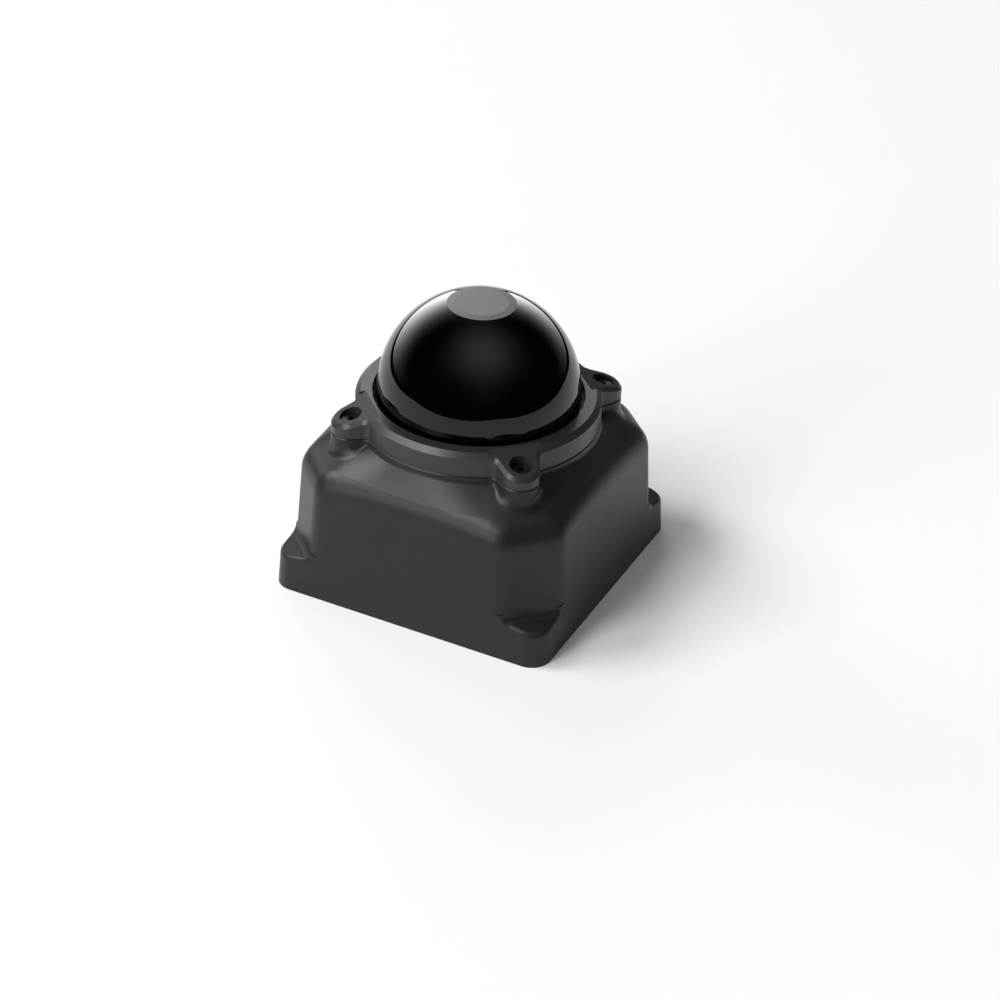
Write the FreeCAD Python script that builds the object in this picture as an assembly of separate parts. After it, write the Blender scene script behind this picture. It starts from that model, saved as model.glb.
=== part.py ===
"""Compact dome lidar: cast square housing, clamped dome window, spinning optical head.

Millimetres, +Z up. The origin is the centre of the bottom face, -Y is the
front, and the cable inlet is on the rear wall at +Y.
"""
import FreeCAD, Part
import math
import os

V = FreeCAD.Vector
UP = V(0, 0, 1)
REAR = V(0, 1, 0)

# Housing outside
BASE_SIDE = 69.4            # width of the square foot
BASE_CORNER_R = 4.8         # plan radius of the foot's corners
WALL_DRAFT = 2.85           # degrees the walls lean in
CORNER_LEG = 10.0           # leg of the cut-off corners, along each wall
WALL_EDGE_R = 5.4           # rounding between walls and cut-off corners
WALL_TOP = 30.6             # height where walls and roof would meet
SHOULDER_R = 7.0            # rounding between walls and roof
ROOF_RISE = 7.0             # roof height, from walls to collar
COLLAR_RISE = 1.0           # straight collar above the roof
COLLAR_BLEND_R = 1.0        # fillet between roof and collar
EAR_BLEND_R = 3.0           # the same fillet round the tips of the ear bosses
EAR_BLEND_SHARES = (1.0, 0.75, 0.5, 0.25, 0.0)   # how far the fillet widens, the most that fits
COLLAR_STRIP = 0.1          # straight collar kept above that fillet
PARTING_BEVEL = 0.25        # small bevel on both sides of the parting line

# Corner lugs
LUG_HEIGHT = 9.4            # height of the lug's top at the cut-off corner
LUG_SLOPE = 14.0            # degrees the lug's top falls outwards
LUG_BLEND_R = 1.7           # hollow between the lug's top and the corner face
LUG_EDGE_R = 1.1            # rounding of the lug's top edge
LUG_BITE = 0.14             # how far the hollow's foot lies inside the corner face
FOOT_HOLE_INSET = 4.2       # blind holes in the lugs, inside the foot's edges
FOOT_HOLE_R = 1.25          # tapping hole for M3
FOOT_HOLE_DEPTH = 7.0

# Housing inside
RIM = 2.4                   # wall around the bottom cover
LEDGE = 1.8                 # seat of the cover's gasket
INNER_DRAFT = 1.5           # degrees the cavity leans in
SHOULDER_WALL = 3.6         # height kept solid between cavity and outer shoulder
COLLAR_THICKNESS = 4.0      # from the parting face down to the carrier's seat
CARRIER_ROOM_R = 25.5       # free radius around the bearing carrier
COLLAR_BORE_R = 21.2

# Dome window
DOME_R = 23.2               # outer radius of the dome
DOME_WALL = 1.8
DOME_CENTRE_RISE = 6.4      # height of the sphere's centre above the parting face
DOME_CROWN_T = 1.6          # thickness under the cap
FLANGE_T = 2.0
FLANGE_WIDTH = 3.1          # how far the flange stands out from the dome
CAP_R = 7.8                 # flat disc on the dome's top
CAP_FLAT_R = 6.0
CAP_T = 1.05
CAP_BEVEL = 0.2
SEAL_WIDTH = 1.6
SEAL_HEIGHT = 1.2
SEAL_INSET = 1.2            # from the flange's outer edge to the seal

# Clamp ring
RING_GAP = 1.0              # visible gap between dome and ring
RING_WIDTH = 3.8            # from the ring's bore to its outer wall
RING_HEIGHT = 5.8
RING_CHAMFER = 1.2
EAR_REACH = 2.1             # screw centre outside the ring's outer wall
EAR_TIP_R = 4.4
EAR_TAPER = 13.0            # degrees the ear's flanks close in
EAR_ROOT_R = 2.0            # fillet between ear and ring
EAR_SLOPE = 17.0            # degrees the ear's top falls outwards
EAR_SLOPE_START = 0.6       # from the ring's bore to where the slope begins
EAR_CHAMFER = 0.75

# Ring screws, M2.5 with a low head
RING_SCREW_R = 1.25
RING_SCREW_LENGTH = 6.0
RING_HEAD_R = 2.25
RING_HEAD_H = 1.7
RING_SOCKET_AF = 1.5
RING_SOCKET_DEPTH = 0.9
RING_COUNTERBORE_R = 2.5
RING_SEAT_T = 1.3           # ring material under the screw head

# Bottom cover
PLATE_T = 2.4
PLATE_RECESS = 0.2          # the cover lies inside the foot's rim
GASKET_T = 0.8
PEDESTAL_SIDE = 18.0
PEDESTAL_RISE = 3.0
BASE_SCREW_INSET = 5.0      # screws inside the cut-off corners, along each wall
BASE_SCREW_R = 1.25
BASE_SCREW_HEAD_R = 2.4
BASE_SCREW_LENGTH = 8.0
BASE_POST_R = 3.2
BASE_POST_HEIGHT = 10.6

# Cable inlet, M12 thread on a bulkhead shell
INLET_HEIGHT = 13.5
INLET_PAD_R = 8.4
INLET_PAD_STAND = 0.3       # pad's flat face outside the foot's edge
INLET_WALL_T = 5.6          # from the pad's face to the inner face
INLET_BODY_R = 6.4
INLET_BODY_STAND = 4.8      # shell's body inside the inner face
INLET_THREAD_R = 6.0
INLET_THREAD_LENGTH = 8.0
INLET_FLANGE_R = 7.6
INLET_FLANGE_T = 2.0
INLET_FLAT_AF = 13.6
INLET_BORE_R = 4.7
INLET_SEAL_T = 0.8
INLET_CHAMFER = 0.5
INLET_NUT_AF = 16.0
INLET_NUT_T = 2.8
INSERT_RECESS = 0.8
KEYWAY_WIDTH = 1.2
KEYWAY_DEPTH = 0.9
KEYWAY_LENGTH = 2.0
CONTACT_COUNT = 8
CONTACT_R = 0.4
CONTACT_CIRCLE_R = 2.75
CONTACT_TAIL = 1.6          # behind the insert
CONTACT_RECESS = 1.0        # contacts end inside the insert's face

# Circuit boards in the housing
BOARD_T = 1.6
MAIN_BOARD_HALF = 22.5
POWER_BOARD_HALF = 21.0
BOARD_LEG = 8.0
BOARD_CORNER_R = 1.0
BOARD_FIX = 17.5            # screw places along X and Y
STANDOFF_AF = 5.0
STANDOFF_H = 6.4
SPACER_H = 6.4
BOARD_SCREW_R = 1.0
BOARD_HEAD_R = 1.9
BOARD_HEAD_H = 1.3
BOARD_SCREW_LENGTH = 5.0
SPACER_STUD_LENGTH = 4.2
STANDOFF_STUD_LENGTH = 1.5
PROCESSOR_SIDE = 14.0
PROCESSOR_T = 1.4
HEADER_SIZE = (16.0, 4.0)
HEADER_Y = -14.0
INDUCTOR_SIDE = 9.0
INDUCTOR_H = 5.0
INDUCTOR_EDGE_R = 1.2
INDUCTOR_X = -8.0
CAPACITOR_R = 3.2
CAPACITOR_H = 7.0
CAPACITOR_X = 6.0
CAPACITOR_Y = 5.0

# Bearing carrier and axle
CARRIER_T = 2.4
CARRIER_R = 25.0
CARRIER_SCREW_CIRCLE_R = 23.2
CARRIER_SCREW_R = 1.0
CARRIER_HEAD_R = 1.4
CARRIER_HEAD_H = 1.3
CARRIER_SCREW_GRIP = 1.8    # thread in the collar
CARRIER_HUB_R = 7.0
CARRIER_SHOULDER_R = 8.2
CARRIER_SHOULDER_H = 1.4
CARRIER_HUB_H = 6.9
WIRE_PORT_R = 1.6
WIRE_PORT_CIRCLE_R = 11.0
AXLE_R = 3.0
AXLE_BORE_R = 0.9
AXLE_TOP_STAND = 1.0        # axle end above the upper bearing
CLIP_T = 0.6
CLIP_R = 3.6
CLIP_OPENING = 2.0
CLIP_GROOVE_R = 2.6

# Motor
STATOR_R = 13.4
STATOR_H = 4.0
STATOR_YOKE = 2.2
STATOR_TEETH = 9
TOOTH_W = 2.2
TOOTH_TIP_T = 1.0
TOOTH_TIP_W = 7.0
WINDING_T = 0.8
WINDING_GAP = 0.2           # between a coil and the yoke or tooth tip
AIR_GAP = 0.4
MAGNET_T = 1.4
MAGNET_H = 4.6
MAGNET_LIFT = 0.4           # above the drum's lower edge
MAGNET_COUNT = 12
MAGNET_GAP_DEG = 2.0
DRUM_WALL = 1.6
DRUM_LIFT = 0.8             # drum's lower edge above the carrier

# Bearings, 6 x 12 x 4, shielded
BEARING_R = 6.0
BEARING_W = 4.0
BEARING_RING_T = 0.7
BEARING_SHIELD_T = 0.3
BEARING_RUN = 0.08          # radial gap between shield and inner ring
BEARING_SPACING = 4.0       # between the two bearings
BEARING_LIFT = 1.5          # collar under the lower bearing
BEARING_COLLAR_R = 3.9

# Rotor
FLANGE_DISC_R = 19.6
FLANGE_DISC_T = 2.0
HUB_WALL = 2.2
HUB_LIP = 0.8
HUB_RIM = 0.4               # hub past the outer rings
COIL_T = 1.8
COIL_INNER_GAP = 0.6        # fixed coil clear of the drum
COIL_WIDTH = 2.0
COIL_GAP = 0.5
CODE_DISC_T = 0.4
CODE_DISC_WIDTH = 2.2
CODE_DISC_RISE = 5.4        # above the carrier's upper face
CODE_SLOTS = 24
CODE_SLOT = (1.2, 0.8)
SENSOR_WIDTH = 6.0
SENSOR_OUTER_R = 20.9
SENSOR_WALL = 1.4
SENSOR_JAW_T = 0.7
SENSOR_SLOT = 1.0
SENSOR_REACH = 3.1

# Optical head
BLOCK_R = 17.5
BLOCK_DEPTH = 18.0
BLOCK_H = 11.4
BLOCK_HUB_GAP = 0.3
BARREL_X = 12.0
BARREL_RISE = 5.7           # lens axis above the rotor's flange
BARREL_R = 3.9
BARREL_LENGTH = 8.0
BARREL_FRONT = 12.0
BARREL_WALL = 0.5
BARREL_LIP = 0.5
APERTURE_R = 2.5
LENS_EDGE_T = 1.2
LENS_SAG = 1.0
LENS_SETBACK = 1.4
HEAD_BOARD_T = 1.2
HEAD_BOARD_SIZE = (7.4, 8.0)
ROTOR_BOARD_R = 13.5
ROTOR_BOARD_PAD_H = 1.6
ROTOR_BOARD_PAD_R = 1.5
ROTOR_BOARD_FIX = (10.0, 6.0)
ROTOR_SCREW_R = 0.8
ROTOR_SCREW_HEAD_R = 1.4
ROTOR_SCREW_HEAD_H = 0.9
ROTOR_SCREW_LENGTH = 4.2
BLOCK_SCREW_X = 13.0
BLOCK_SCREW_R = 1.0
BLOCK_SCREW_HEAD_R = 1.9
BLOCK_SCREW_HEAD_H = 1.3
BLOCK_SCREW_LENGTH = 4.6
LINK_R = 1.4
LINK_H = 0.6
WEIGHT_INNER_R = 14.0
WEIGHT_OUTER_R = 19.0
WEIGHT_H = 1.8
WEIGHT_SPAN = 60.0          # degrees

# Clearances
SLIP = 0.02                 # radial gap of a located fit
GLUE = 0.1                  # radial gap filled with glue
LOOSE = 0.15                # gap around a part laid in a recess
BOLT_PLAY = 0.15            # radial gap around a screw shank
THREAD_PLAY = 0.05          # tapped hole, thread not cut
THREAD_RUNOUT = 0.4         # tapped hole past the screw's end
OVERCUT = 1.0               # cutters reach past the faces they open
TOUCH = 1e-3                # reach within which two shapes touch
HEAL_TOLERANCES = (1e-5, 1e-6, 1e-4)   # working, least and largest, for mended faces

# Heights worked out from the driving dimensions
HALF = BASE_SIDE / 2
DRAFT = math.tan(math.radians(WALL_DRAFT))
ROOF_TOP = WALL_TOP + ROOF_RISE
PARTING = ROOF_TOP + COLLAR_RISE
DOME_CENTRE = PARTING + DOME_CENTRE_RISE
RING_TOP = PARTING + RING_HEIGHT
DECK = PARTING - COLLAR_THICKNESS
PLATE_TOP = PLATE_RECESS + PLATE_T
LEDGE_Z = PLATE_TOP + GASKET_T
MAIN_BOARD_Z = PLATE_TOP + STANDOFF_H
POWER_BOARD_Z = MAIN_BOARD_Z + BOARD_T + SPACER_H

# Places worked out from the foot's width
FOOT_HOLE_PLACE = HALF - FOOT_HOLE_INSET
BASE_SCREW_PLACE = HALF - CORNER_LEG / 2 - BASE_SCREW_INSET
INLET_PAD_FACE = HALF + INLET_PAD_STAND
INLET_INNER_FACE = INLET_PAD_FACE - INLET_WALL_T
INLET_BODY_END = INLET_INNER_FACE - INLET_BODY_STAND

# Radii worked out from the driving dimensions
RING_BORE_R = DOME_R + RING_GAP
RING_R = RING_BORE_R + RING_WIDTH
DOME_FLANGE_R = DOME_R + FLANGE_WIDTH
SEAL_OUTER_R = DOME_FLANGE_R - SEAL_INSET
EAR_U = RING_R + EAR_REACH
MAGNET_INNER_R = STATOR_R + AIR_GAP
DRUM_INNER_R = MAGNET_INNER_R + MAGNET_T
DRUM_R = DRUM_INNER_R + DRUM_WALL
HUB_R = BEARING_R + HUB_WALL
EAR_ANGLES = [45 + 90 * k for k in range(4)]
BASE_SCREW_HEAD_H = BASE_SCREW_HEAD_R - BASE_SCREW_R

# Levels of the motor and the bearings
CARRIER_HUB_TOP = DECK + CARRIER_HUB_H
LOWER_BEARING = CARRIER_HUB_TOP + BEARING_LIFT
UPPER_BEARING = LOWER_BEARING + BEARING_W + BEARING_SPACING
BEARINGS_TOP = UPPER_BEARING + BEARING_W
AXLE_TOP = BEARINGS_TOP + AXLE_TOP_STAND
ROTOR_FLANGE = LOWER_BEARING - HUB_RIM
ROTOR_DECK = ROTOR_FLANGE + FLANGE_DISC_T
BLOCK_TOP = ROTOR_DECK + BLOCK_H
BARREL_Z = ROTOR_DECK + BARREL_RISE
ROTOR_BOARD_Z = BLOCK_TOP + ROTOR_BOARD_PAD_H


def cylinder(radius, base, height, direction=UP):
    """Solid cylinder that stands on base."""
    return Part.makeCylinder(radius, height, base, direction)


def tube(inner, outer, low, high):
    """Ring about the Z axis between two heights."""
    base = V(0, 0, low)
    return cylinder(outer, base, high - low).cut(cylinder(inner, base, high - low))


def box(size_x, size_y, low, high, centre=(0, 0)):
    """Block centred in plan, between two heights."""
    corner = V(centre[0] - size_x / 2, centre[1] - size_y / 2, low)
    return Part.makeBox(size_x, size_y, high - low, corner)


def hexagon(across_flats, base, height, direction=UP):
    """Hexagonal prism that stands on base."""
    radius = across_flats / math.sqrt(3)
    turn = FreeCAD.Rotation(UP, direction)
    corners = [
        base + turn.multVec(V(radius * math.cos(a), radius * math.sin(a), 0))
        for a in (math.radians(60 * k) for k in range(7))
    ]
    return Part.Face(Part.makePolygon(corners)).extrude(direction * height)


def turned(steps):
    """Solid of revolution about Z from edges that close a half section."""
    return Part.Face(Part.Wire(steps)).revolve(V(0, 0, 0), UP, 360)


def chain(points):
    """Straight edges through half-section points (radius, height)."""
    spots = [V(r, 0, z) for r, z in points]
    return [Part.LineSegment(a, b).toShape() for a, b in zip(spots, spots[1:])]


def fused(shapes):
    """One clean solid from touching shapes."""
    first, *rest = shapes
    return first.fuse(rest).removeSplitter()


def healed(shape):
    """Shape whose faces are mended where a blend left one open."""
    if not shape.isValid():
        shape.fix(*HEAL_TOLERANCES)
    return shape


def group(shapes):
    """Separate solids kept together as one node."""
    return Part.makeCompound(shapes)


def turned_copy(shape, degrees):
    """Copy of a shape turned about the Z axis."""
    copy = shape.copy()
    copy.rotate(V(0, 0, 0), UP, degrees)
    return copy


def around(shape, angles):
    """Copies of a shape at several azimuths."""
    return [turned_copy(shape, angle) for angle in angles]


def square_places(offset):
    """Four places at the corners of a square."""
    return [(x, y) for x in (-offset, offset) for y in (-offset, offset)]


def octagon(half, leg):
    """Corners of a square with its corners cut off."""
    short = half - leg
    return [
        (half, -short), (half, short), (short, half), (-short, half),
        (-half, short), (-half, -short), (-short, -half), (short, -half),
    ]


def square(half):
    """Corners of a square."""
    return [(half, -half), (half, half), (-half, half), (-half, -half)]


def rounded(corners, radius, height):
    """Closed wire through corners in plan, each one an arc."""
    count = len(corners)
    arcs = []
    for i in range(count):
        before, corner, after = (V(*corners[(i + k) % count], height) for k in (-1, 0, 1))
        back = (before - corner).normalize()
        ahead = (after - corner).normalize()
        half_angle = math.acos(back.dot(ahead)) / 2
        reach = radius / math.tan(half_angle)
        bisector = (back + ahead).normalize()
        middle = corner + bisector * (radius / math.sin(half_angle) - radius)
        arcs.append((corner + back * reach, middle, corner + ahead * reach))
    edges = []
    for i, arc in enumerate(arcs):
        edges.append(Part.Arc(*arc).toShape())
        edges.append(Part.LineSegment(arc[2], arcs[(i + 1) % count][0]).toShape())
    return Part.Wire(edges)


def matched_circle(wire, radius, height):
    """Circle of arcs that start where the wire's vertices lie in azimuth."""
    angles = [math.atan2(v.Point.y, v.Point.x) for v in wire.OrderedVertexes]
    edges = []
    for i, start in enumerate(angles):
        end = angles[(i + 1) % len(angles)]
        if end < start:
            end += 2 * math.pi
        spots = [
            V(radius * math.cos(a), radius * math.sin(a), height)
            for a in (start, (start + end) / 2, end)
        ]
        edges.append(Part.Arc(*spots).toShape())
    return Part.Wire(edges)


def prism(corners, radius, low, high):
    """Upright prism with rounded corners."""
    return Part.Face(rounded(corners, radius, low)).extrude(V(0, 0, high - low))


def edge_points(edge):
    """Three points inside an edge."""
    first, last = edge.ParameterRange
    return [edge.valueAt(first + (last - first) * k) for k in (0.25, 0.5, 0.75)]


def edges_where(shape, test):
    """Edges whose inner points all pass a test."""
    return [e for e in shape.Edges if all(test(p) for p in edge_points(e))]


def lies_on(shape, point):
    """True where a point touches a shape."""
    return shape.distToShape(Part.Vertex(point))[0] < TOUCH


def at_level(point, height):
    """True where a point lies at a height."""
    return abs(point.z - height) < TOUCH


def wall_half(height):
    """Half width between opposite walls at a height."""
    return HALF - DRAFT * height


def ear_points():
    """Outline points of an ear on the +X axis: flank, root and ring contact."""
    taper = math.radians(EAR_TAPER)
    normal = V(math.sin(taper), math.cos(taper), 0)
    inward = V(-math.cos(taper), math.sin(taper), 0)
    flank_out = V(EAR_U, 0, 0) + normal * EAR_TIP_R
    start = flank_out + normal * EAR_ROOT_R
    reach = RING_R + EAR_ROOT_R
    along = start.dot(inward)
    travel = -along - math.sqrt(along ** 2 - start.dot(start) + reach ** 2)
    centre = start + inward * travel
    flank_in = centre - normal * EAR_ROOT_R
    contact = centre * (RING_R / reach)
    towards = ((flank_in + contact) * 0.5 - centre).normalize()
    return flank_out, flank_in, centre + towards * EAR_ROOT_R, contact


def mirrored(point):
    """Point on the ear's other flank."""
    return V(point.x, -point.y, 0)


def ear_edges(place):
    """Edges round one ear, from ring to ring, set out by a placing function."""
    flank_out, flank_in, root, contact = ear_points()
    tip = V(EAR_U + EAR_TIP_R, 0, 0)
    return [
        Part.Arc(place(mirrored(contact)), place(mirrored(root)), place(mirrored(flank_in))).toShape(),
        Part.LineSegment(place(mirrored(flank_in)), place(mirrored(flank_out))).toShape(),
        Part.Arc(place(mirrored(flank_out)), place(tip), place(flank_out)).toShape(),
        Part.LineSegment(place(flank_out), place(flank_in)).toShape(),
        Part.Arc(place(flank_in), place(root), place(contact)).toShape(),
    ]


def placed(point, degrees, height):
    """Plan point turned about Z and lifted."""
    turn = FreeCAD.Rotation(UP, degrees)
    return turn.multVec(point) + V(0, 0, height)


def eared_prism(low, high):
    """Round collar with four ears, as an upright prism."""
    contact = ear_points()[3]
    edges = []
    for angle in EAR_ANGLES:
        edges += ear_edges(lambda p, a=angle: placed(p, a, low))
        edges.append(Part.Arc(
            placed(contact, angle, low),
            placed(V(RING_R, 0, 0), angle + 45, low),
            placed(mirrored(contact), angle + 90, low),
        ).toShape())
    return Part.Face(Part.Wire(edges)).extrude(V(0, 0, high - low))


def ear_places():
    """Centres of the ring screws in plan."""
    return [placed(V(EAR_U, 0, 0), angle, 0) for angle in EAR_ANGLES]


def shell_form():
    """Drafted walls with a roof that turns from octagon to circle."""
    foot = rounded(octagon(HALF, CORNER_LEG), WALL_EDGE_R, 0)
    eaves = rounded(octagon(wall_half(WALL_TOP), CORNER_LEG), WALL_EDGE_R, WALL_TOP)
    crown = matched_circle(eaves, RING_R - PARTING_BEVEL, ROOF_TOP)
    form = Part.makeLoft([foot, eaves, crown], True, True)
    shoulder = edges_where(form, lambda p: at_level(p, WALL_TOP))
    return healed(form.makeFillet(SHOULDER_R, shoulder))


def lug():
    """Corner lug on the diagonal of +X and +Y, with a hollow up to the corner face."""
    height = 2 * LUG_HEIGHT
    walls = Part.makeLoft([
        rounded(square(HALF), BASE_CORNER_R, 0),
        rounded(square(wall_half(height)), BASE_CORNER_R, height),
    ], True, True)
    sides = Part.makeShell([f for f in walls.Faces if abs(f.normalAt(0, 0).z) < 0.5])
    face = (2 * wall_half(LUG_HEIGHT) - CORNER_LEG) / math.sqrt(2) - LUG_BITE
    slope = math.radians(LUG_SLOPE)
    far = HALF * 2
    bottom = LUG_HEIGHT + LUG_BLEND_R
    centre = V(face + LUG_BLEND_R, 0, bottom)
    low_end = centre + V(-math.sin(slope), 0, -math.cos(slope)) * LUG_BLEND_R
    half_turn = math.radians(180 + (90 - LUG_SLOPE) / 2)
    between = centre + V(math.cos(half_turn), 0, math.sin(half_turn)) * LUG_BLEND_R
    outer = V(far, 0, low_end.z - (far - low_end.x) * math.tan(slope))
    top = V(face, 0, bottom)
    inner = V(face - CORNER_LEG / 2, 0, bottom)
    edges = [
        Part.LineSegment(V(inner.x, 0, 0), V(far, 0, 0)).toShape(),
        Part.LineSegment(V(far, 0, 0), outer).toShape(),
        Part.LineSegment(outer, low_end).toShape(),
        Part.Arc(low_end, between, top).toShape(),
        Part.LineSegment(top, inner).toShape(),
        Part.LineSegment(inner, V(inner.x, 0, 0)).toShape(),
    ]
    stock = Part.Face(Part.Wire(edges)).extrude(V(0, 2 * BASE_SIDE, 0))
    stock.translate(V(0, -BASE_SIDE, 0))
    blank = walls.common(turned_copy(stock, 45))
    reach = face * math.sqrt(2)
    rim = edges_where(blank, lambda p: p.z > TOUCH and p.x + p.y > reach and lies_on(sides, p))
    return blank.makeFillet(LUG_EDGE_R, rim)


def cavity():
    """Hollow of the housing, open at the bottom cover and the dome."""
    inner_half = HALF - RIM - LEDGE
    leg = CORNER_LEG - (RIM + LEDGE) * (2 - math.sqrt(2))
    top = WALL_TOP - SHOULDER_WALL
    lean = math.tan(math.radians(INNER_DRAFT)) * (top - LEDGE_Z)
    floor = rounded(octagon(inner_half, leg), WALL_EDGE_R, LEDGE_Z)
    eaves = rounded(octagon(inner_half - lean, leg), WALL_EDGE_R, top)
    crown = matched_circle(eaves, CARRIER_ROOM_R, DECK)
    room = Part.makeLoft([floor, eaves, crown], True, True)
    bore = cylinder(COLLAR_BORE_R, V(0, 0, DECK - OVERCUT), COLLAR_THICKNESS + 2 * OVERCUT)
    pocket = prism(*plate_outline(LOOSE), -OVERCUT, LEDGE_Z)
    return [room, bore, pocket]


def plate_outline(grow=0.0):
    """Corners and corner radius of the bottom cover, grown for its pocket."""
    half = HALF - RIM - LOOSE
    leg = CORNER_LEG - RIM * (2 - math.sqrt(2))
    return octagon(half + grow, leg + grow * (2 - math.sqrt(2))), WALL_EDGE_R


def inlet_base(distance):
    """Point on the cable inlet's axis at a distance from the part's axis."""
    return V(0, distance, INLET_HEIGHT)


def collar_blend():
    """Fillet radius under the collar, kept inside its height where the roof is flattest."""
    corner = (2 * wall_half(WALL_TOP) - CORNER_LEG) / math.sqrt(2)
    slope = math.atan2(ROOF_RISE, corner - RING_R)
    room = COLLAR_RISE - PARTING_BEVEL - COLLAR_STRIP
    return min(COLLAR_BLEND_R, room / math.tan((math.pi / 2 - slope) / 2))


def seam_radii(body, seam, widening):
    """Fillet radii at both ends of each seam edge, wider towards the ear tips."""
    low = collar_blend()
    gain = max(0.0, EAR_BLEND_R - low) * widening
    tip = ear_points()[0].Length
    rows = []
    for number, edge in enumerate(body.Edges, start=1):
        if not any(edge.isSame(part) for part in seam):
            continue
        ends = [edge.valueAt(end) for end in edge.ParameterRange]
        shares = [(math.hypot(p.x, p.y) - RING_R) / (tip - RING_R) for p in ends]
        radii = [low + gain * min(1.0, max(0.0, share)) for share in shares]
        rows.append((number, *radii))
    return rows


def sound(feature):
    """True where a feature came out as a valid shape."""
    return not feature.Shape.isNull() and feature.Shape.isValid()


def crowned(body, seam):
    """Body with its collar blended and its lip bevelled, the ear fillets as wide as they fit."""
    sheet = FreeCAD.newDocument()
    base = sheet.addObject("Part::Feature", "Base")
    base.Shape = body
    for widening in EAR_BLEND_SHARES:
        blend = sheet.addObject("Part::Fillet", "Blend")
        blend.Base = base
        blend.Edges = seam_radii(body, seam, widening)
        sheet.recompute()
        if not sound(blend):
            continue
        bevel = sheet.addObject("Part::Chamfer", "Bevel")
        bevel.Base = blend
        bevel.Edges = [
            (number, PARTING_BEVEL, PARTING_BEVEL)
            for number, edge in enumerate(blend.Shape.Edges, start=1)
            if all(at_level(p, PARTING) for p in edge_points(edge))
        ]
        sheet.recompute()
        if sound(bevel):
            break
    crown = bevel.Shape.Solids[0].copy()
    FreeCAD.closeDocument(sheet.Name)
    return crown


def housing():
    """Cast body: walls, roof, collar with ear bosses, lugs, posts and inlet pad."""
    form = shell_form()
    collar = eared_prism(WALL_TOP - SHOULDER_WALL, PARTING)
    body = fused([form, collar]).Solids[0]
    seam = edges_where(
        body,
        lambda p: p.z < PARTING - PARTING_BEVEL and lies_on(collar, p) and lies_on(form, p),
    )
    body = crowned(body, seam)
    pad = cylinder(INLET_PAD_R, inlet_base(INLET_INNER_FACE), INLET_PAD_FACE - INLET_INNER_FACE, REAR)
    body = fused([body, pad] + around(lug(), [90 * k for k in range(4)]))
    for hollow in cavity():
        body = body.cut(hollow)
    posts = [cylinder(BASE_POST_R, V(x, y, LEDGE_Z), BASE_POST_HEIGHT)
             for x, y in square_places(BASE_SCREW_PLACE)]
    inner_depth = wall_half(INLET_HEIGHT) - INLET_INNER_FACE - OVERCUT
    inner_pad = cylinder(INLET_PAD_R, inlet_base(INLET_INNER_FACE), inner_depth, REAR)
    body = fused([body, inner_pad] + posts)
    holes = [cylinder(INLET_BODY_R + BOLT_PLAY, inlet_base(0), 2 * HALF, REAR)]
    for x, y in square_places(BASE_SCREW_PLACE):
        holes.append(cylinder(BASE_SCREW_R + THREAD_PLAY, V(x, y, 0), LEDGE_Z + BASE_SCREW_LENGTH))
    for x, y in square_places(FOOT_HOLE_PLACE):
        holes.append(cylinder(FOOT_HOLE_R, V(x, y, 0), FOOT_HOLE_DEPTH))
    depth = RING_SCREW_LENGTH - RING_SEAT_T + THREAD_RUNOUT
    for place in ear_places():
        holes.append(cylinder(RING_SCREW_R + THREAD_PLAY, place + V(0, 0, PARTING - depth), depth))
    for angle in range(0, 360, 90):
        spot = placed(V(CARRIER_SCREW_CIRCLE_R, 0, 0), angle, DECK)
        holes.append(cylinder(CARRIER_SCREW_R + THREAD_PLAY, spot, CARRIER_SCREW_GRIP + THREAD_RUNOUT))
    groove = tube(SEAL_OUTER_R - SEAL_WIDTH - LOOSE, SEAL_OUTER_R + LOOSE, PARTING - SEAL_HEIGHT, PARTING)
    for hole in holes + [groove]:
        body = body.cut(hole)
    return body


def dome_window():
    """Hollow dome with a straight skirt, a clamped flange and a seat for the cap."""
    inner = DOME_R - DOME_WALL
    seat_r = CAP_R + SLIP
    rim_z = DOME_CENTRE + math.sqrt(DOME_R ** 2 - seat_r ** 2)
    seat_z = cap_seat()
    ceiling = seat_z - DOME_CROWN_T
    ceiling_r = math.sqrt(inner ** 2 - (ceiling - DOME_CENTRE) ** 2)
    flange_top = PARTING + FLANGE_T

    def on_sphere(radius, end_r):
        turn = math.acos(end_r / radius) / 2
        return V(radius * math.cos(turn), 0, DOME_CENTRE + radius * math.sin(turn))

    return turned(
        chain([(0, seat_z), (0, ceiling), (ceiling_r, ceiling)])
        + [Part.Arc(
            V(ceiling_r, 0, ceiling), on_sphere(inner, ceiling_r), V(inner, 0, DOME_CENTRE)).toShape()]
        + chain([
            (inner, DOME_CENTRE), (inner, PARTING), (DOME_FLANGE_R, PARTING),
            (DOME_FLANGE_R, flange_top), (DOME_R, flange_top), (DOME_R, DOME_CENTRE),
        ])
        + [Part.Arc(V(DOME_R, 0, DOME_CENTRE), on_sphere(DOME_R, seat_r), V(seat_r, 0, rim_z)).toShape()]
        + chain([(seat_r, rim_z), (seat_r, seat_z), (0, seat_z)])
    )


def cap_seat():
    """Height of the cap's seat, so that the cap's edge meets the dome's surface."""
    edge_z = DOME_CENTRE + math.sqrt(DOME_R ** 2 - CAP_R ** 2)
    return edge_z + CAP_BEVEL - CAP_T


def dome_cap():
    """Flat disc with a shallow bevel."""
    seat = cap_seat()
    top = seat + CAP_T
    return turned(chain([
        (0, seat), (CAP_R, seat), (CAP_R, top - CAP_BEVEL), (CAP_FLAT_R, top), (0, top), (0, seat),
    ]))


def dome_seal():
    """Ring seal pressed flat between collar and flange."""
    return tube(SEAL_OUTER_R - SEAL_WIDTH, SEAL_OUTER_R, PARTING - SEAL_HEIGHT, PARTING)


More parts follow.
